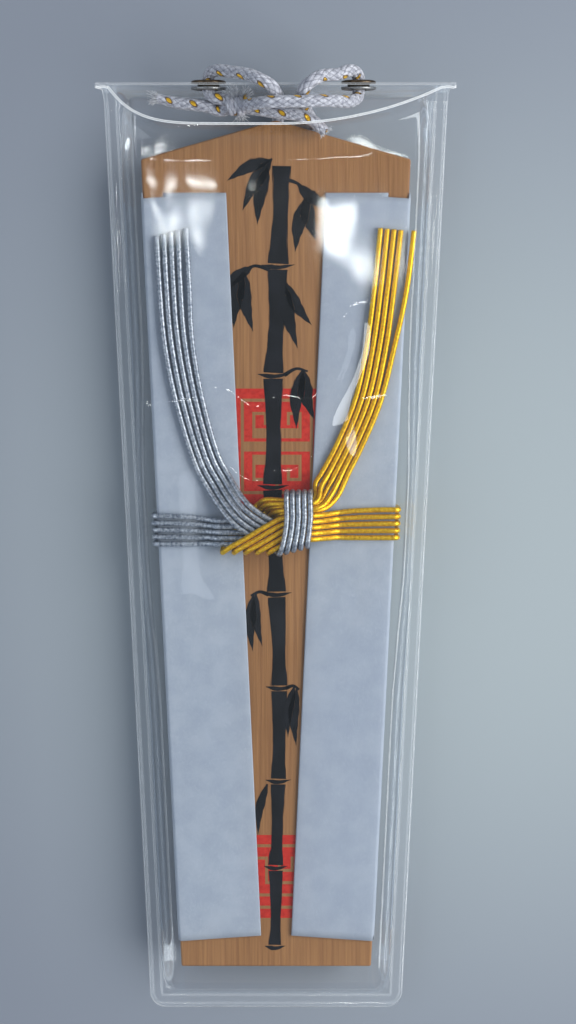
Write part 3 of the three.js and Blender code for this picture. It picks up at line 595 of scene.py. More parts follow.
class Finish:
    """One material: a Principled shader and the nodes that feed it."""

    def __init__(self, name, **constants):
        self.material = bpy.data.materials.new(name)
        self.material.use_nodes = True
        self.tree = self.material.node_tree
        self.tree.nodes.clear()
        self.shader = self.node("BsdfPrincipled", {}, {})
        output = self.node("OutputMaterial", {}, {"Surface": self.shader.outputs["BSDF"]})
        output.is_active_output = True
        for words, value in constants.items():
            self.set(words, value)

    def set(self, words, value):
        """Feeds one input of the shader, named with _ for its spaces."""
        name = words.replace("_", " ").title().replace("Ior", "IOR")
        self.feed(self.shader.inputs[name], value)

    def feed(self, socket, value):
        if isinstance(value, Value):
            value = value.socket
        if isinstance(value, bpy.types.NodeSocket):
            self.tree.links.new(value, socket)
        else:
            socket.default_value = value

    def node(self, kind, settings, feeds):
        made = self.tree.nodes.new("ShaderNode" + kind)
        for key, value in settings.items():
            setattr(made, key, value)
        for key, value in feeds.items():
            self.feed(made.inputs[key], value)
        return made

    def out(self, kind, settings, feeds, output=0):
        return Value(self, self.node(kind, settings, feeds).outputs[output])

    def maths(self, operation, *terms):
        return self.out("Math", {"operation": operation}, dict(enumerate(terms)))

    def blend(self, share, a, b):
        """Colour a turning to colour b."""
        return self.node("Mix", {"data_type": "RGBA"}, {0: share, 6: a, 7: b}).outputs[2]

    def place(self, scale=1):
        """Object coordinates in millimetres, scaled by one number or by one for each axis."""
        scales = [scale] * 3 if isinstance(scale, (int, float)) else scale
        coordinates = self.node("TexCoord", {}, {}).outputs["Object"]
        feeds = {"Vector": coordinates, "Scale": [s * 1000 for s in scales]}
        return self.node("Mapping", {}, feeds).outputs[0]

    def along(self, name="UVMap", scale=(1, 1, 1)):
        """The piece's own map, scaled."""
        sheet = self.node("UVMap", {"uv_map": name}, {}).outputs[0]
        return self.node("Mapping", {}, {"Vector": sheet, "Scale": scale}).outputs[0]

    def axes(self, vector):
        parts = self.node("SeparateXYZ", {}, {0: vector})
        return [Value(self, parts.outputs[k]) for k in range(3)]

    def noise(self, vector, detail=2.0, roughness=0.5, distortion=0.0):
        feeds = {"Vector": vector, "Scale": 1.0, "Detail": detail}
        feeds.update({"Roughness": roughness, "Distortion": distortion})
        return self.out("TexNoise", {}, feeds, "Fac")

    def bump(self, height, distance, strength):
        """Feeds the shader's normal with a height, whose 1 is the distance in millimetres."""
        feeds = {"Height": height, "Distance": distance / 1000, "Strength": strength}
        self.feed(self.shader.inputs["Normal"], self.node("Bump", {}, feeds).outputs[0])


def wood_finish():
    """Bare cypress with straight upright grain."""
    f = Finish("bare_cypress", roughness=0.55, specular_ior_level=0.35)
    wander = f.noise(f.place((0.05, 0.012, 0.05)), 2.0)
    x, _, z = f.axes(f.place())
    rings = ((x + z * 0.35 + wander * 9.0) * 3.4).sine() * 0.5 + 0.5
    line = rings.power(5.0)
    fibre = f.noise(f.place((2.6, 0.05, 2.6)), 4.0, 0.65)
    fine = f.noise(f.place((9.0, 0.16, 9.0)), 2.0, 0.6)
    patch = f.noise(f.place((0.09, 0.02, 0.09)), 2.0)
    tone = f.blend(fibre.rise(0.3, 0.72), colour(126, 86, 48), colour(154, 111, 67))
    tone = f.blend(line * 0.35, tone, colour(122, 80, 46))
    tone = f.blend(patch.rise(0.35, 0.7) * 0.3, tone, colour(164, 122, 82))
    tone = f.blend(fine.rise(0.6, 0.8) * 0.4, tone, colour(112, 72, 42))
    f.set("base_color", tone)
    f.set("roughness", fine * 0.2 + 0.46)
    f.bump(fibre * 0.7 + fine * 0.5 - line * 0.5, 0.05, 0.8)
    return f.material


def paper_finish():
    """Stiff white handmade paper with long pale fibres."""
    f = Finish("white_paper", roughness=0.85, specular_ior_level=0.2)
    cloud = f.noise(f.place(0.25), 4.0, 0.6)
    tooth = f.noise(f.place(7), 3.0, 0.65)
    swirl = f.noise(f.place((0.7, 0.45, 0.7)), 2.0, 0.5, 2.2)
    hair = abs(swirl - 0.5).rise(0.02, 0.0)
    drift = f.noise(f.place((0.04, 0.02, 0.04)), 1.0)
    tone = f.blend(cloud.rise(0.3, 0.75), colour(151, 162, 178), colour(163, 173, 187))
    tone = f.blend(hair * 0.3, tone, colour(180, 189, 202))
    tone = f.blend(drift.rise(0.35, 0.7) * 0.25, tone, colour(143, 153, 172))
    f.set("base_color", tone)
    f.set("roughness", tooth * 0.15 + 0.75)
    f.bump(tooth * 0.5 + cloud * 0.8 + hair * 0.25, 0.045, 0.8)
    return f.material


def foil_finish(name, pale, dark, seam_painted_shade):
    """Paper cord wound with a narrow foil strip, with painted shade in the groove of its winding seam; its map has u
    round it and v along it in mm.
    """
    f = Finish(name, metallic=0.85, roughness=0.3)
    u, v, _ = f.axes(f.along())
    turn = (u + v / FOIL_STRIP_WIDTH) % 1.0
    seam = turn.rise(0.07, 0.0).at_least(turn.rise(0.95, 1.0))
    crumple = f.noise(f.along(scale=(5, 2.2, 1)), 3.0, 0.6)
    streak = f.noise(f.along(scale=(9, 0.35, 1)), 2.0, 0.6)
    tone = f.blend(crumple.rise(0.3, 0.7), dark, pale)
    # painted shade: the groove of the winding seam is darkened
    tone = f.blend(seam * 0.35, tone, seam_painted_shade)
    f.set("base_color", tone)
    f.set("roughness", crumple * 0.2 + streak * 0.12 + 0.16)
    f.set("metallic", 0.8 - seam * 0.2)
    f.bump(turn * 0.35 - seam * 0.45 + crumple * 0.5 + streak * 0.3, 0.06, 0.8)
    return f.material


def film_finish(name):
    """Clear soft film, drawn as one skin: glossy, nearly unseen face on, whiter at its welds, with a painted pale
    sheen where it is seen at grazing angles.
    """
    f = Finish(name, ior=FILM_IOR)
    side, foot, _ = f.axes(f.along("weld_map"))
    edge = side.at_most(foot)
    outer, inner = (abs(edge - ridge) for ridge in WELD_RIDGES)
    lines = outer.rise(0.2, 0.02).at_least(inner.rise(0.24, 0.02))
    inside_weld = edge.rise(2.3, 2.0)
    dust = f.noise(f.place(1.6), 3.0, 0.6)
    fresnel = f.out("Fresnel", {}, {"IOR": FILM_IOR}, "Fac")
    haze_and_painted_sheen = dust.rise(0.6, 0.8) * 0.008 + lines * 0.1 + inside_weld * 0.02 + 0.006
    # painted sheen: the film turns pale where it is seen at grazing angles
    haze_and_painted_sheen = haze_and_painted_sheen + fresnel.rise(0.2, 0.9) * 0.2
    shine = (fresnel * FILM_SHINE_GAIN / (fresnel + 1.0)).at_most(0.4)
    f.set("base_color", colour(232, 238, 244))
    f.set("metallic", shine / (shine + haze_and_painted_sheen))
    f.set("alpha", (shine + haze_and_painted_sheen).at_most(0.95))
    f.set("roughness", dust * 0.06 + 0.03)
    ripple = f.noise(f.place((0.16, 0.05, 0.16)), 2.0, 0.5)
    f.bump(ripple * 1.0 + dust * 0.03, 0.018, 0.5)
    return f.material


def film_edge_finish(name, bright):
    """The film's cut edge, painted as a white highlight that is brightest along its two corners; u runs through the
    thickness.
    """
    f = Finish(name, ior=FILM_IOR)
    through, _, _ = f.axes(f.along())
    corner = abs(through - 0.5).rise(0.24, 0.27)
    nick = f.noise(f.place(2.2), 3.0, 0.6)
    f.set("base_color", f.blend(nick, colour(232, 238, 244), colour(252, 253, 255)))
    # painted highlight: the edge is white and most opaque along its two corners
    f.set("alpha", (corner + nick * 0.4 + 0.3).at_most(1.0) * bright)
    f.set("roughness", nick * 0.2 + 0.12)
    f.bump(nick, 0.02, 0.5)
    return f.material


def bronze_finish():
    """Dark bronzed metal, rubbed brighter in patches."""
    f = Finish("dark_bronze", metallic=0.9)
    wear = f.noise(f.place(2.4), 4.0, 0.6)
    grain = f.noise(f.place(14), 2.0, 0.6)
    tone = f.blend(wear.rise(0.3, 0.75), colour(66, 56, 48), colour(112, 96, 78))
    tone = f.blend(grain.rise(0.6, 0.85) * 0.4, tone, colour(150, 126, 96))
    f.set("base_color", tone)
    f.set("roughness", wear * 0.25 + 0.26)
    f.bump(wear * 0.5 + grain * 0.3, 0.02, 0.7)
    return f.material


def steel_finish():
    """Grey washer with faint turning marks."""
    f = Finish("grey_washer", metallic=0.9)
    wear = f.noise(f.place(3), 4.0, 0.6)
    scratch = f.noise(f.place((1.2, 22, 22)), 2.0, 0.6)
    f.set("base_color", f.blend(wear.rise(0.3, 0.75), colour(118, 120, 122), colour(172, 174, 176)))
    f.set("roughness", scratch * 0.3 + 0.25)
    f.bump(wear * 0.4 + scratch * 0.5, 0.015, 0.6)
    return f.material


def braid_finish():
    """White silky braid with gold flecks, painted shade in the gaps between its strands and round each fleck; its map
    has u round it and v along it in mm.
    """
    f = Finish("white_braid", roughness=0.5, sheen_weight=0.3, sheen_roughness=0.4)
    u, v, _ = f.axes(f.along())
    right = (u + v / BRAID_ADVANCE) * BRAID_STRANDS
    left = (u - v / BRAID_ADVANCE) * BRAID_STRANDS
    over = (right.floor() + left.floor()) % 2.0
    right_in, left_in = right % 1.0, left % 1.0
    right_hump = (right_in * math.pi).sine()
    left_hump = (left_in * math.pi).sine()
    hump = over * right_hump + (1 - over) * left_hump
    gap = (right_hump * left_hump).rise(0.28, 0.0)
    across = over * right_in + (1 - over) * left_in
    thread = (across * (2 * math.pi * 4)).sine() * 0.5 + 0.5
    silk = f.noise(f.along(scale=(9, 1.4, 1)), 3.0, 0.6)
    ragged = (f.noise(f.along(scale=(7, 1.6, 1)), 2.0) - 0.5) * 0.5
    rows = []
    half = FLECK_SPACING / 2
    upright, lean = FLECK_SLANT
    long_half, short_half = FLECK_HALF_SIZE
    for start, place, slant in ((0, 0.27, lean), (half, 0.76, -lean)):
        ahead = (v + start) % FLECK_SPACING - half
        round_it = (u - place) * (math.pi * CORD_DIAMETER)
        long = (ahead * upright + round_it * slant) / long_half
        short = (round_it * upright - ahead * slant) / short_half
        rows.append(long.power(2) + short.power(2))
    nearest = rows[0].at_most(rows[1]) + ragged
    fleck = nearest.rise(1.08, 0.85)
    heart = nearest.rise(0.62, 0.25)
    tone = f.blend(silk.rise(0.35, 0.65), colour(146, 149, 163), colour(206, 209, 220))
    tone = f.blend(thread * 0.4, tone, colour(146, 149, 162))
    # painted shade in the gaps between the braid's strands
    tone = f.blend(gap * 0.6, tone, colour(100, 102, 116))
    # the brown rim round each fleck is painted shade; the yellow heart is the gold thread's own colour
    tone = f.blend(fleck * 0.85, tone, colour(92, 62, 22))
    tone = f.blend(heart, tone, colour(226, 178, 48))
    f.set("base_color", tone)
    f.set("metallic", fleck * 0.6)
    f.set("roughness", 0.52 - fleck * 0.18 + silk * 0.1)
    f.bump(hump * 0.7 + thread * 0.2 - gap * 0.3 + silk * 0.2, 0.12, 0.8)
    return f.material


def fibre_finish():
    """Loose white silk fibres at the cut end of the cord."""
    f = Finish("silk_fibre", roughness=0.5, sheen_weight=0.3)
    tint = f.noise(f.place(2), 2.0)
    f.set("base_color", f.blend(tint.rise(0.3, 0.7), colour(168, 172, 182), colour(214, 217, 224)))
    f.bump(f.noise(f.place(20), 2.0), 0.01, 0.5)
    return f.material


def brush_finish():
    """Brushed black ink, broken by the wood's grain; u runs across a stroke, v along it in mm."""
    f = Finish("brushed_ink", roughness=0.62, specular_ior_level=0.12)
    u, _, _ = f.axes(f.along())
    edge = abs(u - 0.5) * 2.0
    bristle = f.noise(f.along(scale=(11, 0.16, 1)), 3.0, 0.65)
    grain = f.noise(f.place((3.2, 0.09, 3.2)), 4.0, 0.65)
    pool = f.noise(f.place((0.4, 0.25, 0.4)), 2.0)
    ragged = edge + (bristle - 0.5) * 0.5 + (grain - 0.5) * 0.35
    dry = (bristle * 0.6 + grain * 0.5).rise(0.74, 0.66)
    f.set("alpha", ragged.rise(0.98, 0.86) * (dry * 0.14 + 0.86))
    f.set("base_color", f.blend(pool.rise(0.35, 0.7), colour(6, 8, 12), colour(20, 22, 28)))
    f.set("roughness", grain * 0.25 + 0.5)
    f.bump(grain * 0.6 + bristle * 0.2, 0.03, 0.6)
    return f.material


def stamp_finish():
    """Red stamp paste pressed on the wood, thin where the grain is low."""
    f = Finish("red_stamp", roughness=0.7, specular_ior_level=0.25)
    grain = f.noise(f.place((3.0, 0.1, 3.0)), 4.0, 0.65)
    blot = f.noise(f.place(1.3), 4.0, 0.6)
    f.set("base_color", f.blend(blot.rise(0.3, 0.7), colour(176, 30, 18), colour(192, 46, 30)))
    f.set("alpha", (grain * 0.55 + blot * 0.55).rise(0.42, 0.56) * 0.2 + 0.79)
    f.set("roughness", grain * 0.2 + 0.6)
    f.bump(blot * 0.6 + grain * 0.5, 0.02, 0.6)
    return f.material


# ---------------------------------------------------------------- making pieces


def finished(name, bm, material, body=None, smooth=True):
    """A bmesh as a named object that rides on a body."""
    mesh = bpy.data.meshes.new(name)
    bm.to_mesh(mesh)
    bm.free()
    piece = bpy.data.objects.new(name, mesh)
    bpy.context.scene.collection.objects.link(piece)
    mesh.materials.append(material)
    for face in mesh.polygons:
        face.use_smooth = smooth
    if body:
        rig.ride(piece, body)
    return piece


def new_bmesh():
    bm = bmesh.new()
    bm.loops.layers.uv.new("UVMap")
    return bm


def join(bm, part):
    """Adds a finished part to a piece's bmesh."""
    mesh = bpy.data.meshes.new("part")
    part.to_mesh(mesh)
    part.free()
    bm.from_mesh(mesh)
    bpy.data.meshes.remove(mesh)


def face_up(part):
    """Turns a flat part's faces towards the viewer."""
    bmesh.ops.recalc_face_normals(part, faces=part.faces)
    part.faces.ensure_lookup_table()
    if part.faces[0].normal.z < 0:
        bmesh.ops.reverse_faces(part, faces=part.faces)


def lay_map(bm, shares, place, name="UVMap"):
    """Fills a map from the column and row of each corner."""
    layer = bm.loops.layers.uv[name]
    for face in bm.faces:
        for loop in face.loops:
            loop[layer].uv = place(*shares[loop.vert])


def grid(columns, rows):
    """A grid, and the column and row of each of its vertices."""
    bm = new_bmesh()
    bmesh.ops.create_grid(bm, x_segments=columns, y_segments=rows, size=0.5, calc_uvs=True)
    shares = {}
    for vertex in bm.verts:
        column = round((vertex.co.x + 0.5) * columns)
        row = round((vertex.co.y + 0.5) * rows)
        shares[vertex] = (column, row)
    return bm, shares


def tube(bm, places, radius, sides, start_length=0.0):
    """Adds a round tube along places, in mm, with u round it and v along it in mm.
    radius is a number or a function of the share round and the length along."""
    rings = len(places)
    part, shares = grid(sides, rings - 1)
    lengths = lengths_along(places, start_length)
    frames = []
    side = None
    for k in range(rings):
        along = (places[min(rings - 1, k + 1)] - places[max(0, k - 1)]).normalized()
        if side is None:
            side = Vector((0, 0, 1)).cross(along)
            if side.length < 0.1:
                side = Vector((0, 1, 0)).cross(along)
        side = (side - along * side.dot(along)).normalized()
        frames.append((side.copy(), along.cross(side)))
    lay_map(part, shares, lambda column, row: (column / sides, lengths[row]))
    for vertex, (column, row) in shares.items():
        share = (column % sides) / sides
        angle = 2 * math.pi * share
        size = radius(share, lengths[row]) if callable(radius) else radius
        across, up = frames[row]
        out = across * size * math.cos(angle) + up * size * math.sin(angle)
        vertex.co = at(*(places[row] + out))
    bmesh.ops.remove_doubles(part, verts=part.verts, dist=1e-7)
    ends = [e for e in part.edges if e.is_boundary]
    bmesh.ops.holes_fill(part, edges=ends, sides=0)
    bmesh.ops.recalc_face_normals(part, faces=part.faces)
    join(bm, part)


# ---------------------------------------------------------------- camera


def make_camera():
    """The view of the photograph: above the charm, tipped a little from square."""
    data = bpy.data.cameras.new("camera")
    data.sensor_fit = "VERTICAL"
    data.sensor_height = CAMERA_SENSOR_HEIGHT
    data.lens = CAMERA_LENS
    data.clip_start = 0.01
    data.clip_end = 10
    camera = bpy.data.objects.new("camera", data)
    bpy.context.scene.collection.objects.link(camera)
    camera.location = CAMERA_PLACE
    camera.rotation_euler = (math.radians(CAMERA_TIP), 0, 0)
    bpy.context.scene.camera = camera


# ---------------------------------------------------------------- hanging cord

HEADER_BEND_START = at(0, 67.5, 4.0)
HEADER_BEND_END = at(0, 70.0, 6.5)


def braid_radius(share, length):
    """The cord's surface over its crossing strands."""
    right = (share + length / BRAID_ADVANCE) * BRAID_STRANDS
    left = (share - length / BRAID_ADVANCE) * BRAID_STRANDS
    over = (math.floor(right) + math.floor(left)) % 2
    hump = abs(math.sin(math.pi * (right if over else left)))
    return CORD_DIAMETER / 2 - BRAID_SINK + BRAID_HUMP * hump


def cord_route():
    """The cord's route from the knot, through both eyelets and round its loop, and back."""
    knot = Vector(KNOT_PLACE)
    route = [knot + Vector((-0.9, 0.3, 0.1))] + CORD_LEFT_RUN + CORD_TUCKED_LOOP
    route += list(reversed(CORD_RIGHT_RUN)) + [knot + Vector((0.9, -0.1, 0.4))]
    return smooth_route(route)


def make_knot_turns(braid):
    """The cord wound round itself at the knot."""
    half_length, half_depth, half_height = KNOT_HALF_SIZE
    turns = []
    for k in range(KNOT_POINTS + 1):
        share = k / KNOT_POINTS
        angle = 2 * math.pi * (KNOT_TURNS * share + KNOT_START_TURN)
        size = 1.0 - 0.1 * abs(share - 0.5)
        turns.append(Vector(KNOT_PLACE) + Vector((
            mix(-half_length, half_length, share),
            half_depth * size * math.cos(angle), half_height * size * math.sin(angle),
        )))
    places, _ = even_route(smooth_route(turns, 3), KNOT_RING_SPACING)
    bm = new_bmesh()
    tube(bm, places, lambda u, v: KNOT_CORD_SHARE * braid_radius(u, v), KNOT_SIDES)
    return finished("cord_knot_turns", bm, braid, "header")


def make_tail(name, braid, root, tail_route, taper):
    """One cut end of the cord, which leaves the knot and narrows towards its end."""
    bm = new_bmesh()
    route = [Vector(KNOT_PLACE) + Vector(root)] + tail_route
    places, long = even_route(smooth_route(route), CORD_RING_SPACING)

    def tail_radius(share, along):
        narrowed = ease((along - long + TAIL_TAPER_LENGTH) / TAIL_TAPER_LENGTH)
        return braid_radius(share, along) * (1 - taper * narrowed)

    tube(bm, places, tail_radius, CORD_SIDES)
    return finished(name, bm, braid, "header")


# Tufts of loose fibres: where each grows, the way it points, how many there are, how far they
# reach and how wide the tuft is
TUFTS = [
    ((7.4, 65.35, 8.8), (0.65, -0.75, -0.1), 60, 0.9, 0.85),
    ((-18.0, 70.2, 7.85), (-1, 0.22, -0.05), 120, 2.0, 0.75),
    ((-4.8, 70.3, 10.6), (0.55, 0.6, 0.75), 60, 1.9, 0.6),
    ((-6.3, 70.4, 10.9), (-0.35, 0.7, 0.8), 60, 1.9, 0.7),
    ((-5.4, 67.6, 9.2), (0.1, -0.9, 0.2), 40, 1.0, 0.8),
]


def make_tufts(fibre):
    """Loose fibres where the cord is cut and where its knot is rubbed."""
    chance = random.Random(7)
    bm = new_bmesh()
    for root, out, count, reach, wide in TUFTS:
        root, out = Vector(root), Vector(out).normalized()
        side = out.orthogonal().normalized()
        other = out.cross(side)
        for _ in range(count):
            angle, spread = chance.uniform(0, 2 * math.pi), wide * math.sqrt(chance.random())
            around = side * math.cos(angle) + other * math.sin(angle)
            start = root + around * spread
            far = reach * chance.uniform(0.35, 1.0)
            lean = chance.uniform(0.1, 0.7)
            drift = Vector([chance.uniform(-0.3, 0.3) for _ in range(3)])
            hair = [start, start + out * far * 0.5 + around * lean * 0.2 + drift * 0.3,
                    start + out * far * (1 - 0.3 * lean) + around * lean * 0.8 + drift]
            tube(bm, smooth_route(hair, 2), FIBRE_RADIUS, FIBRE_SIDES)
    return finished("cord_fray", bm, fibre, "header")


def make_cord(braid, fibre):
    """The hanging cord from its knot, through both eyelets and round its tucked loop."""
    places, length = even_route(cord_route(), CORD_RING_SPACING)
    bm = new_bmesh()
    tube(bm, places, braid_radius, CORD_SIDES)
    cord = finished("hanging_cord", bm, braid)
    turns = make_knot_turns(braid)
    left = make_tail("cord_left_tail", braid, (-1.2, -0.4, -0.8), CORD_PLAIN_TAIL, 0.22)
    right = make_tail("cord_right_tail", braid, (1.2, -0.4, -0.6), CORD_FRAYED_TAIL, 0.12)
    fray = make_tufts(fibre)

    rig.blend(cord, "pouch", "header", HEADER_BEND_START, HEADER_BEND_END)
    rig.replaces(cord, "cord_left_run", "cord_right_run", "cord_tucked_loop")
    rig.replaces(turns, "cord_knot")
    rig.replaces(left, "cord_plain_tail")
    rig.replaces(right, "cord_frayed_tail")
    for piece in (cord, turns, left, right, fray):
        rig.slot(piece, "white_cord")
    path, _ = even_route([at(*p) for p in cord_route()], 0.001)
    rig.cord(
        cord, exit=path[0], length=length / 1000, diameter=CORD_DIAMETER / 1000, far_end="knot",
        stiffness="limp", lay="loose", path=path, with_pieces=[turns, left, right, fray],
    )


# ---------------------------------------------------------------- tablet and its drawing


def make_tablet(material):
    """The pointed plate, with narrow bevels at its edges."""
    bm = bmesh.new()
    corners = [
        (-TABLET_FOOT_WIDTH / 2, FOOT_Y), (TABLET_FOOT_WIDTH / 2, FOOT_Y),
        (TABLET_SHOULDER_WIDTH / 2, SHOULDER_Y), (0, APEX_Y),
        (-TABLET_SHOULDER_WIDTH / 2, SHOULDER_Y),
    ]
    outline = [bm.verts.new(at(x, y, TABLET_BACK_Z)) for x, y in corners]
    face = bm.faces.new(outline)
    grown = bmesh.ops.extrude_face_region(bm, geom=[face])
    lifted = [v for v in grown["geom"] if isinstance(v, bmesh.types.BMVert)]
    bmesh.ops.translate(bm, verts=lifted, vec=(0, 0, TABLET_THICKNESS / 1000))
    bmesh.ops.recalc_face_normals(bm, faces=bm.faces)
    bmesh.ops.bevel(
        bm, geom=bm.edges[:], offset=TABLET_EDGE_ROUNDING / 1000, offset_type="OFFSET", segments=3,
        profile=0.5, affect="EDGES", material=-1, clamp_overlap=True,
    )
    tablet = finished("tablet", bm, material, "tied_tablet", smooth=False)
    widest_bevel_face = 2e-5
    for face in tablet.data.polygons:
        face.use_smooth = face.area < widest_bevel_face and len(face.vertices) <= 4
    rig.replaces(tablet, "wooden_tablet")
    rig.slot(tablet, "wood")


def stroke(bm, points, widths, height, steps=10):
    """Adds one flat brush stroke on the tablet's face, with u across it and v along it in mm."""
    centre = smooth_route([(x, y, 0) for x, y in points], steps)
    count = len(centre) - 1
    part, shares = grid(STROKE_COLUMNS, count)
    start = points[0][0] * 7.3 + points[0][1] * 3.1  # so that no two strokes have the same bristles
    gone = lengths_along(centre, start)
    lay_map(part, shares, lambda column, row: (column / STROKE_COLUMNS, gone[row]))
    for vertex, (column, row) in shares.items():
        ahead = centre[min(count, row + 1)] - centre[max(0, row - 1)]
        across = Vector((-ahead.y, ahead.x, 0)).normalized()
        place = row / count * (len(widths) - 1)
        k = min(len(widths) - 2, int(place))
        width = mix(widths[k], widths[k + 1], ease(place - k))
        spot = centre[row] - across * width * (column / STROKE_COLUMNS - 0.5)
        vertex.co = at(spot.x, spot.y, height)
    face_up(part)
    join(bm, part)


# Joints of the stem from the top: x, y and width
STEM_JOINTS = [
    (0.9, 60.5, 3.3), (0.3, 44.5, 3.5), (-0.4, 27.5, 3.4), (-0.5, 10.0, 3.3), (0.1, -7.0, 3.1),
    (0.5, -22.0, 2.9), (0.3, -37.0, 2.7), (-0.1, -51.0, 2.5), (-0.2, -64.0, 2.2),
]
JOINT_GAP = 0.45
TWIGS = [
    [(1.6, 58.0), (3.6, 57.2), (5.4, 55.0)], [(-0.9, 44.0), (-3.4, 44.6), (-5.6, 43.4)],
    [(1.3, 27.6), (3.2, 28.6), (5.0, 28.2)], [(-1.2, -7.0), (-2.6, -6.6), (-4.0, -7.2)],
    [(1.5, -22.0), (2.7, -21.6), (3.7, -22.2)],
]
# Leaves: where each starts, where its tip lies and its width
LEAVES = [
    ((4.9, 55.8), (6.3, 48.5), 2.6), ((5.2, 55.4), (3.0, 46.8), 2.5),
    ((3.4, 57.2), (9.2, 53.4), 2.2), ((-0.6, 61.2), (-5.2, 53.2), 2.5),
    ((-0.8, 61.0), (-7.6, 57.8), 2.2), ((-1.2, 60.0), (-2.9, 51.0), 2.4),
    ((-5.2, 43.6), (-6.6, 35.0), 2.7), ((-5.0, 43.8), (-3.6, 34.4), 2.5),
    ((-3.6, 44.5), (-8.6, 40.0), 2.0), ((4.4, 28.4), (6.0, 20.6), 2.5),
    ((4.2, 28.5), (3.2, 19.2), 2.4), ((1.6, 42.0), (5.6, 35.4), 2.1),
    ((1.5, 41.6), (3.4, 31.8), 2.4), ((-3.6, -7.1), (-3.7, -16.0), 2.0),
    ((-3.2, -6.8), (-2.2, -15.2), 1.8), ((3.3, -22.0), (3.2, -31.2), 1.9),
    ((2.9, -21.7), (1.9, -29.8), 1.7), ((-1.4, -37.4), (-2.9, -45.6), 1.6),
]


def make_bamboo(material):
    """Brushed bamboo down the bare strip of the tablet: a jointed stem, twigs and leaves."""
    bm = new_bmesh()
    stem_z = TABLET_FACE_Z + INK_LIFT
    twig_z, leaf_z = stem_z + INK_LAYER_STEP, stem_z + 2 * INK_LAYER_STEP
    for (x0, y0, w0), (x1, y1, w1) in zip(STEM_JOINTS, STEM_JOINTS[1:]):
        top, bottom = y0 - JOINT_GAP, y1 + JOINT_GAP
        middle = (x0 + x1) / 2 + 0.12
        stroke(bm, [(x0, top), (middle, (top + bottom) / 2), (x1, bottom)],
               [w0 * 0.95, w0 * 0.82, w0 * 0.72, w1 * 0.78, w1 * 1.02], stem_z)
        stroke(bm, [(x1 - w1 * 0.72, y1 + 0.25), (x1, y1 - 0.1), (x1 + w1 * 0.75, y1 + 0.3)],
               [0.15, 0.75, 0.6, 0.1], twig_z)
    for twig in TWIGS:
        stroke(bm, twig, [0.7, 0.5, 0.35], twig_z)
    for (x0, y0), (x1, y1), width in LEAVES:
        bend = Vector((y1 - y0, x0 - x1)).normalized() * 0.5
        middle = ((x0 + x1) / 2 + bend.x, (y0 + y1) / 2 + bend.y)
        widths = [0.3, width * 0.75, width, width * 0.8, width * 0.4, 0.05]
        stroke(bm, [(x0, y0), middle, (x1, y1)], widths, leaf_z)
    drawing = finished("ink_bamboo", bm, material, "tied_tablet")
    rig.slot(drawing, "wood")


def lattice(count, size, gap):
    """Grid lines for bars and the narrow gaps between them, half of them on each side of 0."""
    bars = (count + 1) // 2
    bar = (size - gap * (count - bars)) / bars
    lines = [-size / 2]
    for k in range(count):
        lines.append(lines[-1] + (gap if k % 2 else bar))
    return lines


def make_stamp(where, rows, material):
    """A square stamp: a frame round a key fret, in bars with narrow gaps."""
    centre, size = STAMP_PLACES[where]
    bm = new_bmesh()
    height, width = len(rows), len(rows[0])
    part, shares = grid(width, height)
    across, upward = lattice(width, size[0], STAMP_GAP), lattice(height, size[1], STAMP_GAP)
    z = TABLET_FACE_Z + STAMP_LIFT
    for vertex, (column, row) in shares.items():
        vertex.co = at(centre[0] + across[column], centre[1] + upward[row], z)
    bare = []
    for face in part.faces:
        columns, levels = zip(*(shares[v] for v in face.verts))
        if rows[height - 1 - min(levels)][min(columns)] == ".":
            bare.append(face)
    bmesh.ops.delete(part, geom=bare, context="FACES")
    face_up(part)
    join(bm, part)
    stamp = finished(f"stamp_{where}", bm, material, "tied_tablet")
    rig.slot(stamp, "wood")


# The frets row by row from the top: # is a bar, . is bare wood
UPPER_FRET = [
    "###############",
    "#.............#",
    "#.#####.#####.#",
    "#.#...#.#...#.#",
    "#.#.#.#.#.#.#.#",
    "#.#.###.###.#.#",
    "#.#.........#.#",
    "#.#####.#####.#",
    "#.............#",
    "#.#####.#####.#",
    "#.#.........#.#",
    "#.#.###.###.#.#",
    "#.#.#.#.#.#.#.#",
    "#.#...#.#...#.#",
    "#.#####.#####.#",
    "#.............#",
    "###############",
]
LOWER_FRET = [
    "#############",
    "#...........#",
    "#.#####.###.#",
    "#.#...#.#.#.#",
    "#.#.#.#.#.#.#",
    "#.#.#.#...#.#",
    "#.#.#.#####.#",
    "#.#.#.......#",
    "#.#.#######.#",
    "#.#.......#.#",
    "#.#########.#",
    "#...........#",
    "#############",
]


# ---------------------------------------------------------------- paper wrapper


def paper_section(y_share):
    """The wrapper's cross section at a share of its height from foot to top, as x and z, with
    half the tablet's width, the flap's inner edge and the section's own height there."""
    end_y = mix(PAPER_BOTTOM_Y, PAPER_TOP_Y, y_share)
    half = half_width(end_y)
    inner = half - FLAP_WIDTH
    free = inner + DOUBLED_WIDTH
    out = half + PAPER_GAP + PAPER_THICKNESS / 2
    over_z = PAPER_FACE_Z - PAPER_THICKNESS / 2
    under_z = over_z - PAPER_THICKNESS - LAYER_GAP
    back_z = PAPER_BACK_Z + PAPER_THICKNESS / 2
    fold = (over_z - under_z) / 2
    side = PAPER_FOLD_RADIUS
    right = [(mix(free, inner + fold, k / 8), under_z) for k in range(9)]
    right += arc((inner + fold, under_z + fold), fold, -QUARTER, -3 * QUARTER, 6)[1:-1]
    right += [(mix(inner + fold, out - side, k / 16), over_z) for k in range(17)]
    right += arc((out - side, over_z - side), side, QUARTER, 0, 5)[1:-1]
    right += [(out, mix(over_z - side, back_z + side, k / 4)) for k in range(5)]
    right += arc((out - side, back_z + side), side, 0, -QUARTER, 5)[1:-1]
    right += [(mix(out - side, 0, k / 10), back_z) for k in range(11)]
    left = [(-x, z) for x, z in reversed(right[:-1])]
    return right + left, half, inner, end_y


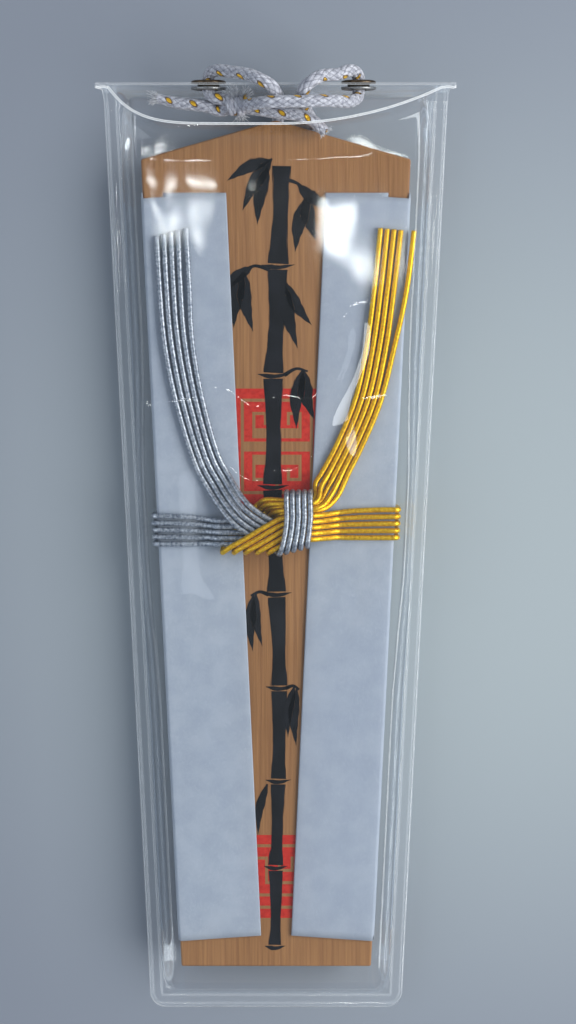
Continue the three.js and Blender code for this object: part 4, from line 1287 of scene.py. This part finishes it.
def make_paper(material):
    """The wrapper, whose cut ends rise towards the tablet's middle."""
    sections = [paper_section(row / PAPER_ROWS) for row in range(PAPER_ROWS + 1)]
    bm, shares = grid(len(sections[0][0]) - 1, PAPER_ROWS)
    lay_map(bm, shares, lambda column, row: (column, sections[row][3]))
    for vertex, (column, row) in shares.items():
        points, half, inner, end_y = sections[row]
        x, z = points[column]
        y = end_y
        if z > TABLET_FACE_Z:
            turned_under = z < PAPER_FACE_Z - PAPER_THICKNESS and abs(x) > inner + PAPER_THICKNESS
            y += FLAP_RISE * (1.0 if turned_under else clamp((half - abs(x)) / (half - inner)))
            wave = noise.noise(Vector((x * 0.09 + 3, y * 0.045, math.copysign(2, x))))
            crease = noise.noise(Vector((x * 0.3 + 9, y * 0.02, 5)))
            z += PAPER_WAVE * (wave + 0.4 * crease)
        vertex.co = at(x, y, z)
    bmesh.ops.recalc_face_normals(bm, faces=bm.faces)
    paper = finished("folded_paper", bm, material)
    thick = paper.modifiers.new("thickness", "SOLIDIFY")
    thick.thickness = PAPER_THICKNESS * PAPER_THICKNESS_SHARE / 1000
    thick.offset = 0
    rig.ride(paper, "tied_tablet")
    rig.replaces(paper, "paper_wrapper")
    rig.slot(paper, "paper")
    round_tablet = 4 * (half_width(0) + PAPER_GAP) + 2 * TABLET_THICKNESS
    width = round_tablet - 2 * (half_width(0) - FLAP_WIDTH) + 2 * DOUBLED_WIDTH
    length = PAPER_TOP_Y - PAPER_BOTTOM_Y
    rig.sheet(paper, flat=(width / 1000, length / 1000), held="folded", rests_on=["tablet"])


# ---------------------------------------------------------------- tie


def make_tie(metal, ribbon, ends, material):
    """Five wound paper cords side by side; the spiral step of the winding runs along each."""
    for number in range(5):
        bm = new_bmesh()
        route = smooth_route(strand_route(ribbon, ends, number), 8)
        places, _ = even_route(route, STRAND_RING_SPACING)
        twist = number * 0.37  # so that the windings of neighbours don't line up

        def radius(share, along):
            wind = (share + along / STRAND_WIND_LENGTH + twist) % 1.0
            return STRAND_DIAMETER / 2 - STRAND_WIND + STRAND_WIND * wind

        tube(bm, places, radius, STRAND_SIDES, start_length=number * 7.7)
        strand = finished(f"{metal}_cord_{number + 1}", bm, material, "tied_tablet")
        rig.replaces(strand, f"{metal}_strand_{number + 1}")
        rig.slot(strand, f"{metal}_paper_cord")


# ---------------------------------------------------------------- clear film


def traced(points):
    """A line in the Y-Z plane with its lengths, to be read by share."""
    places = [Vector(p) for p in points]
    return places, lengths_along(places)


def by_share(path, share):
    """The place at a share of a traced line's length."""
    places, gone = path
    want = gone[-1] * share
    for k in range(len(gone) - 1):
        if gone[k + 1] >= want or k == len(gone) - 2:
            span = gone[k + 1] - gone[k] or 1.0
            return places[k].lerp(places[k + 1], (want - gone[k]) / span)


def curl_path(z, end_y, radius, after):
    """A film's line from the start of the curl, up round its bend."""
    bend = arc((end_y - radius, z + radius), radius, -QUARTER, 0)
    return traced([(CURL_START_Y, z)] + bend + after)


WALL_TOP = (WALL_TOP_Y, HEADER_HEIGHT)
CURL_PATHS = {
    "back": curl_path(SHEET_THICKNESS, WALL_ROOT_Y, BACK_BEND_RADIUS, [WALL_TOP]),
    "seam": curl_path(WELD_HEIGHT, WALL_ROOT_Y, SEAM_BEND_RADIUS, [WALL_TOP]),
    "front": curl_path(FACE_INNER_Z, LIP_Y, LIP_BEND_RADIUS, []),
}
SEAM_LENGTH = CURL_PATHS["seam"][1][-1]
POUCH_LENGTH = CURL_START_Y - OUTER_FOOT_Y + SEAM_LENGTH


def outer_half_width(along):
    """Half the pouch's width at a length along it."""
    at_foot = TABLET_FOOT_WIDTH / 2 + FOOT_SIDE_MARGIN
    at_mouth = TABLET_SHOULDER_WIDTH / 2 + MOUTH_SIDE_MARGIN
    return mix(at_foot, at_mouth, along / POUCH_LENGTH)


def lower_station(y, side):
    """Where the film runs at a height below the curl."""
    middle_z = FACE_INNER_Z if side == "front" else SHEET_THICKNESS
    tent = math.sin(QUARTER * clamp((y - WELD_FOOT_Y) / TENT_LENGTH))
    outer = outer_half_width(y - OUTER_FOOT_Y)
    into_corner = FOOT_CORNER_RADIUS - (y - OUTER_FOOT_Y)
    if into_corner > 0:
        reach = math.sqrt(max(0.0, FOOT_CORNER_RADIUS ** 2 - into_corner ** 2))
        outer -= FOOT_CORNER_RADIUS - reach
    return {
        "seam": (y, WELD_HEIGHT),
        "middle": (y, mix(WELD_HEIGHT, middle_z, tent)),
        "flat": half_width(y) + PAPER_GAP + PAPER_THICKNESS + SHOULDER_MARGIN
        + TIE_MARGIN * ease_bump(y - TIE_Y, TIE_REACH, TIE_MARGIN_FALL),
        "outer": outer,
        "curl": 0.0,
        "rise": KNOT_BULGE if side == "front" else 0.0,
        "off_tie": abs(y - TIE_Y),
        "along": y - OUTER_FOOT_Y,
    }


def upper_station(share, side):
    """Where the film runs at a share of the curl."""
    along = CURL_START_Y - OUTER_FOOT_Y + share * SEAM_LENGTH
    return {
        "seam": tuple(by_share(CURL_PATHS["seam"], share)),
        "middle": tuple(by_share(CURL_PATHS[side], share)),
        "flat": half_width(CURL_START_Y) + PAPER_GAP + PAPER_THICKNESS + SHOULDER_MARGIN,
        "outer": outer_half_width(along),
        "curl": ease(share),
        "rise": 0.0,
        "off_tie": 0.0,
        "along": along,
    }


# How closely each film is cut: across the weld in mm from its edge, across its shoulder and up
# the tent at its foot as shares, and the number of columns and rows between
WELD_COLUMNS = [0, 0.25, 0.4, 0.5, 0.6, 0.8, 1.2, 1.6, 1.75, 1.85, 1.95, 2.1]
FOOT_WELD_ROWS = [0, 0.08] + WELD_COLUMNS[1:]
SHOULDER_COLUMNS = [0.06, 0.14, 0.25, 0.37, 0.5, 0.63, 0.75, 0.87]
TENT_ROWS = [0.08, 0.18, 0.3, 0.45, 0.6, 0.8, 1.0]
CURL_ROWS = 30
FLAT_COLUMNS = {"back": 44, "front": 136}
FLAT_ROWS = {"back": 74, "front": 210}


def fold_lift(x, y):
    """How far the fold lifts the front film at a place, in mm."""
    gone, nearest, place, hand = 0.0, math.inf, 0.0, 1
    for (x0, y0), (x1, y1) in zip(FOLD_LINE, FOLD_LINE[1:]):
        span = math.hypot(x1 - x0, y1 - y0)
        share = clamp(((x - x0) * (x1 - x0) + (y - y0) * (y1 - y0)) / span ** 2)
        near_x, near_y = mix(x0, x1, share), mix(y0, y1, share)
        apart = math.hypot(x - near_x, y - near_y)
        if apart < nearest:
            nearest, place, hand = apart, gone + share * span, x - near_x
        gone += span
    width = FOLD_RIGHT_WIDTH if hand > 0 else FOLD_LEFT_WIDTH
    fade = ease(place / FOLD_FADE) * ease((gone - place) / FOLD_FADE)
    return FOLD_HEIGHT * fade * math.exp(-(nearest / width) ** 2)


def station_columns(station, count):
    """x across one station, with how far in from the side edge each place lies."""
    outer, flat = station["outer"], station["flat"]
    weld = outer - WELD_WIDTH
    right = [(outer - d, d) for d in WELD_COLUMNS]
    right += [(weld - (weld - flat) * s, WELD_WIDTH + (weld - flat) * s) for s in SHOULDER_COLUMNS]
    left = [(-x, d) for x, d in right]
    middle = []
    for k in range(count + 1):
        x = flat * (2 * k / count - 1)
        middle.append((x, outer - abs(x)))
    return left + middle + right[::-1]


def film_height(station, x):
    """How far a place leaves the weld for the film's middle line, from 0 to 1."""
    weld = station["outer"] - WELD_WIDTH
    shoulder = ease_bump(x, station["flat"], weld - station["flat"])
    power = GAPE_LEFT_POWER if x < 0 else GAPE_RIGHT_POWER
    gape = 1 - min(1.0, abs(x) / weld) ** power
    return mix(shoulder, gape, station["curl"])


def tie_bulge(station, x):
    """How far the front film rises over the tie; the rise starts a little unevenly across it."""
    wander = BULGE_WANDER * (0.5 + noise.noise(Vector((x * 0.16, 2.0, 7.0))))
    off_tie = max(0.0, station["off_tie"] - wander)
    lengthways = ease_bump(off_tie, KNOT_BULGE_REACH, KNOT_BULGE_FALL)
    sideways = 0.4 + 0.6 * ease_bump(x / station["flat"], 0.3, 0.7)
    return station["rise"] * lengthways * sideways


def film_stations(side):
    """The stations of one film, from its foot to the end of the curl."""
    lower = [OUTER_FOOT_Y + d for d in FOOT_WELD_ROWS]
    lower += [WELD_FOOT_Y + TENT_LENGTH * s for s in TENT_ROWS]
    count, start = FLAT_ROWS[side], lower[-1]
    lower += [mix(start, CURL_START_Y, k / count) for k in range(1, count)]
    stations = [lower_station(y, side) for y in lower]
    return stations + [upper_station(k / CURL_ROWS, side) for k in range(CURL_ROWS + 1)]


def film_offset(side, station, x, y, inward):
    """How far the film's middle layer lies outside the plane of the weld, with its waves."""
    along = station["along"]
    edge = min(inward, along)
    ridge = sum(math.exp(-((edge - r) / WELD_RIDGE_WIDTH) ** 2) for r in WELD_RIDGES)
    offset = WELD_GAP / 2 + SHEET_THICKNESS / 2 + WELD_RIDGE_HEIGHT * ridge
    if side == "front":
        slack = ease((edge - WELD_WIDTH) / 4) * (1 - 0.5 * station["curl"])
        wave = noise.noise(Vector((x * 0.11 + 11, along * 0.03, 0.0)))
        wave += 0.4 * noise.noise(Vector((x * 0.22, along * 0.07, 4.0)))
        gather = ease_bump(along - CURL_START_Y + OUTER_FOOT_Y, 2, 9)
        offset += FILM_WAVE * (1 + 1.5 * gather) * slack * (wave + 0.6) + fold_lift(x, y)
    return offset


def add_cut_edge(bm, shares, normals, places):
    """Adds a rim of the film's thickness along its cut edge, in four strips."""
    cut = [(edge.verts[0], edge.verts[1]) for edge in bm.edges if edge.is_boundary]
    rims = {}
    for vertex in dict.fromkeys(v for pair in cut for v in pair):
        reach = normals[vertex] * SHEET_THICKNESS / 2
        rim = [bm.verts.new(at(*(places[vertex] + reach * s))) for s in (-1, -0.7, 0.7, 1)]
        rims[vertex] = rim[:2] + [vertex] + rim[2:]
    flat_map = bm.loops.layers.uv["UVMap"]
    for a, b in cut:
        for k in range(4):
            face = bm.faces.new((rims[a][k], rims[b][k], rims[b][k + 1], rims[a][k + 1]))
            face.material_index = 1
            for loop, place in zip(face.loops, (k, k, k + 1, k + 1)):
                loop[flat_map].uv = (place / 4, shares[a][1])


def make_film(side, material, edge_material):
    """One film of the pouch, drawn as one skin along its middle layer, with its cut edge."""
    stations = film_stations(side)
    placed = [station_columns(s, FLAT_COLUMNS[side]) for s in stations]
    bm, shares = grid(len(placed[0]) - 1, len(stations) - 1)
    bm.loops.layers.uv.new("weld_map")
    for which, name in enumerate(("UVMap", "weld_map")):
        def place(column, row):
            return placed[row][column][which], stations[row]["along"]

        lay_map(bm, shares, place, name)
    offsets = {}
    for vertex, (column, row) in shares.items():
        station = stations[row]
        x, inward = placed[row][column]
        share = film_height(station, x)
        y = mix(station["seam"][0], station["middle"][0], share)
        z = mix(station["seam"][1], station["middle"][1], share)
        vertex.co = (x, y, z + tie_bulge(station, x) * share)
        offsets[vertex] = film_offset(side, station, x, y, inward)
    bm.normal_update()
    bm.faces.ensure_lookup_table()
    outward = 1 if side == "front" else -1
    if bm.faces[len(bm.faces) // 2].normal.z * outward < 0:
        bmesh.ops.reverse_faces(bm, faces=bm.faces)
        bm.normal_update()
    normals = {v: v.normal.copy() for v in bm.verts}
    places = {v: v.co + normals[v] * offsets[v] for v in bm.verts}
    add_cut_edge(bm, shares, normals, places)
    for vertex, place in places.items():
        vertex.co = at(*place)
    film = finished(f"clear_film_{side}", bm, material)
    film.data.materials.append(edge_material)
    film.visible_shadow = False  # clear film lets the light through to what lies in it
    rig.blend(film, "pouch", "header", HEADER_BEND_START, HEADER_BEND_END)
    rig.replaces(film, f"pouch_{side}_sheet", f"header_{side}_sheet")
    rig.slot(film, "clear_film")
    return film


# ---------------------------------------------------------------- eyelets


def turned(bm, profile, x):
    """Adds a turned ring on the header's wall: profile as radius and place out along the axis."""
    part = new_bmesh()
    ring = [part.verts.new((r, 0, out)) for r, out in profile]
    edges = [part.edges.new((a, b)) for a, b in zip(ring, ring[1:] + ring[:1])]
    bmesh.ops.spin(
        part, geom=ring + edges, cent=(0, 0, 0), axis=(0, 0, 1), dvec=(0, 0, 0), angle=2 * math.pi,
        steps=EYELET_SEGMENTS, use_merge=True, use_duplicate=False,
    )
    bmesh.ops.remove_doubles(part, verts=part.verts, dist=1e-5)
    bmesh.ops.recalc_face_normals(part, faces=part.faces)
    stand = Matrix.Rotation(-QUARTER, 4, "X")
    lean = Matrix.Rotation(WALL_LEAN, 4, "X")
    bmesh.ops.transform(part, matrix=lean @ stand, verts=part.verts)
    for vertex in part.verts:
        vertex.co = at(*(vertex.co + Vector((x, EYELET_Y, EYELET_Z))))
    join(bm, part)


def make_eyelets(bronze, steel):
    """Two turned eyelets with their washers, in mm out from the middle of the header's wall."""
    sheet_in = WELD_GAP / 2
    sheet_out = sheet_in + SHEET_THICKNESS
    flange_in = sheet_out + EYELET_FIT_GAP
    washer_out = sheet_in - EYELET_FIT_GAP
    washer_in = washer_out - WASHER_THICKNESS
    hole, rim = EYELET_HOLE_RADIUS, EYELET_FLANGE_RADIUS
    barrel = hole + EYELET_BARREL_WALL
    crown = []
    middle, reach = (hole + rim) / 2, (rim - hole) / 2
    for k in range(13):
        angle = math.pi * k / 12
        rise = (EYELET_FLANGE_THICKNESS - EYELET_EDGE) * math.sin(angle) ** 0.8
        crown.append((middle + reach * math.cos(angle), flange_in + EYELET_EDGE + rise))
    eyelet_profile = [(barrel, washer_in + 0.05), (barrel, flange_in), (rim - 0.08, flange_in)]
    eyelet_profile += crown + [
        (hole, washer_in + 0.08), (hole + 0.06, washer_in), (barrel - 0.04, washer_in),
    ]
    inner = barrel + EYELET_FIT_GAP
    washer_profile = [
        (inner, washer_out), (inner, washer_in + 0.12), (inner + 0.1, washer_in + 0.03),
        (inner + 0.3, washer_in), (rim - 0.35, washer_in), (rim - 0.14, washer_in + 0.04),
        (rim - 0.03, washer_in + 0.14), (rim, washer_in + 0.26), (rim, washer_out),
    ]
    rings = [
        ("bronze_eyelet", "eyelet", eyelet_profile, bronze, "bronze"),
        ("steel_washer", "eyelet_washer", washer_profile, steel, "steel"),
    ]
    for hand, x in EYELET_XS.items():
        for name, node, profile, material, slot in rings:
            bm = new_bmesh()
            turned(bm, profile, x)
            ring = finished(f"{name}_{hand}", bm, material, "header")
            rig.replaces(ring, f"{node}_{hand}")
            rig.slot(ring, slot)


# ---------------------------------------------------------------- stage and light


def make_stage():
    """The table that the charm lies on, with painted light and shade: lightest right of the charm, painted darker away
    from there and painted pale again far off.
    """
    f = Finish("pale_floor", roughness=0.8, specular_ior_level=0.2)
    cloud = f.noise(f.place(0.01), 2.0)
    x, y, _ = f.axes(f.place())
    # painted light and shade: the floor darkens with distance from a pool of light right of the charm, then far off
    # turns pale again
    away = (((x - 30) * 0.9).power(2) + y.power(2)).power(0.5) / 100
    tone = f.blend(cloud, colour(153, 163, 169), colour(159, 169, 175))
    tone = f.blend(away.rise(0.1, 1.05) * 0.9, tone, colour(125, 132, 146))
    f.set("base_color", f.blend(away.rise(1.8, 8.0), tone, colour(234, 237, 241)))
    bm = bmesh.new()
    bmesh.ops.create_grid(bm, x_segments=2, y_segments=2, size=FLOOR_SIZE)
    bmesh.ops.translate(bm, verts=bm.verts, vec=(0, 0, -FLOOR_DROP))
    floor = finished("floor", bm, f.material, smooth=False)
    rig.stage(floor)


def lamp(name, place, size, power, tint, shape="RECTANGLE", turn=None):
    """A flat lamp, turned as given or else towards the charm."""
    data = bpy.data.lights.new(name, "AREA")
    data.shape = shape
    data.size, data.size_y = size
    data.energy = power
    data.color = tint
    light = bpy.data.objects.new(name, data)
    bpy.context.scene.collection.objects.link(light)
    light.location = place
    light.rotation_euler = turn or (-Vector(place)).to_track_quat("-Z", "Y").to_euler()


# Small soft windows high above: where each one's reflection falls on the front film, in mm, its
# width and length there, its turn in degrees, and how bright it is
GLEAMS = [
    (7.0, 52.6, 2.4, 6.4, 24, 18.0), (9.6, 48.2, 5.2, 6.8, 18, 23.0),
    (13.4, 44.8, 3.0, 5.0, 30, 20.0), (-11.8, 57.2, 8.0, 2.4, -8, 24.0),
    (-12.4, 52.2, 4.6, 2.2, -28, 20.0),
]


def mirrored(film, x, y):
    """Where the camera looks, by way of the front film at a place, at the height of the lamps."""
    eye = bpy.context.scene.camera.location
    flat = at(x, y, FACE_INNER_Z)

    def apart(vertex):
        return (vertex.co.xy - flat.xy).length

    skin = [v for v in film.data.vertices if v.normal.z > 0.5 and apart(v) < GLEAM_NEIGHBOURS]
    spot = min(skin, key=apart).co
    facing = sum((v.normal for v in skin), Vector()).normalized()
    ray = (spot - eye).reflect(facing)
    far = (GLEAM_HEIGHT - spot.z) / ray.z
    return spot + ray * far, 1 + (ray * far).length / (eye - spot).length


def make_gleams(film):
    """Each lamp hangs where the film mirrors it to the camera."""
    for number, (x, y, width, length, turn, glow) in enumerate(GLEAMS):
        place, grown = mirrored(film, x, y)
        size = (width * grown / 1000, length * grown / 1000)
        power = glow * math.pi * size[0] * size[1]
        turn = (0, 0, math.radians(turn))
        lamp(f"gleam_{number + 1}", place, size, power, GLEAM_TINT, "ELLIPSE", turn)


def make_light(film):
    """The window, its glow in the room and on the film, and a pale sky."""
    lamp("window_right", **WINDOW)
    lamp("fill_left", **FILL)
    make_gleams(film)
    world = bpy.data.worlds.new("studio")
    bpy.context.scene.world = world
    world.use_nodes = True
    nodes, links = world.node_tree.nodes, world.node_tree.links
    nodes.clear()
    direction = nodes.new("ShaderNodeTexCoord")
    height = nodes.new("ShaderNodeSeparateXYZ")
    links.new(direction.outputs["Generated"], height.inputs[0])
    ramp = nodes.new("ShaderNodeValToRGB")
    low, high = ramp.color_ramp.elements
    low.position, low.color = 0.2, colour(204, 211, 218)
    high.position, high.color = 1.0, colour(162, 172, 184)
    links.new(height.outputs["Z"], ramp.inputs[0])
    sky = nodes.new("ShaderNodeBackground")
    links.new(ramp.outputs["Color"], sky.inputs["Color"])
    sky.inputs["Strength"].default_value = WORLD_STRENGTH
    output = nodes.new("ShaderNodeOutputWorld")
    links.new(sky.outputs[0], output.inputs["Surface"])
    bpy.context.scene.view_settings.view_transform = "Standard"


make_camera()
make_cord(braid_finish(), fibre_finish())
make_tablet(wood_finish())
make_bamboo(brush_finish())
stamp = stamp_finish()
make_stamp("upper", UPPER_FRET, stamp)
make_stamp("lower", LOWER_FRET, stamp)
make_paper(paper_finish())
# the third colour of each foil is the painted shade in its winding seam
silver = foil_finish(
    "silver_foil", colour(194, 202, 212), colour(108, 119, 136), colour(72, 80, 94),
)
gold = foil_finish("gold_foil", colour(250, 206, 46), colour(212, 158, 10), colour(140, 92, 6))
make_tie("silver", SILVER_RIBBON, SILVER_ENDS, silver)
make_tie("gold", GOLD_RIBBON, GOLD_ENDS, gold)
make_eyelets(bronze_finish(), steel_finish())
film = film_finish("clear_film")
# the cut edges are painted highlights, strong on the front film and faint on the back
make_film("back", film, film_edge_finish("film_back_edge", 0.3))
front_film = make_film("front", film, film_edge_finish("film_front_edge", 0.95))
make_stage()
make_light(front_film)

with open("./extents.json", "w") as out:
    json.dump({"cad": [list(c) for c in cad_box], "visual": [list(c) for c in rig.bounds()]}, out)
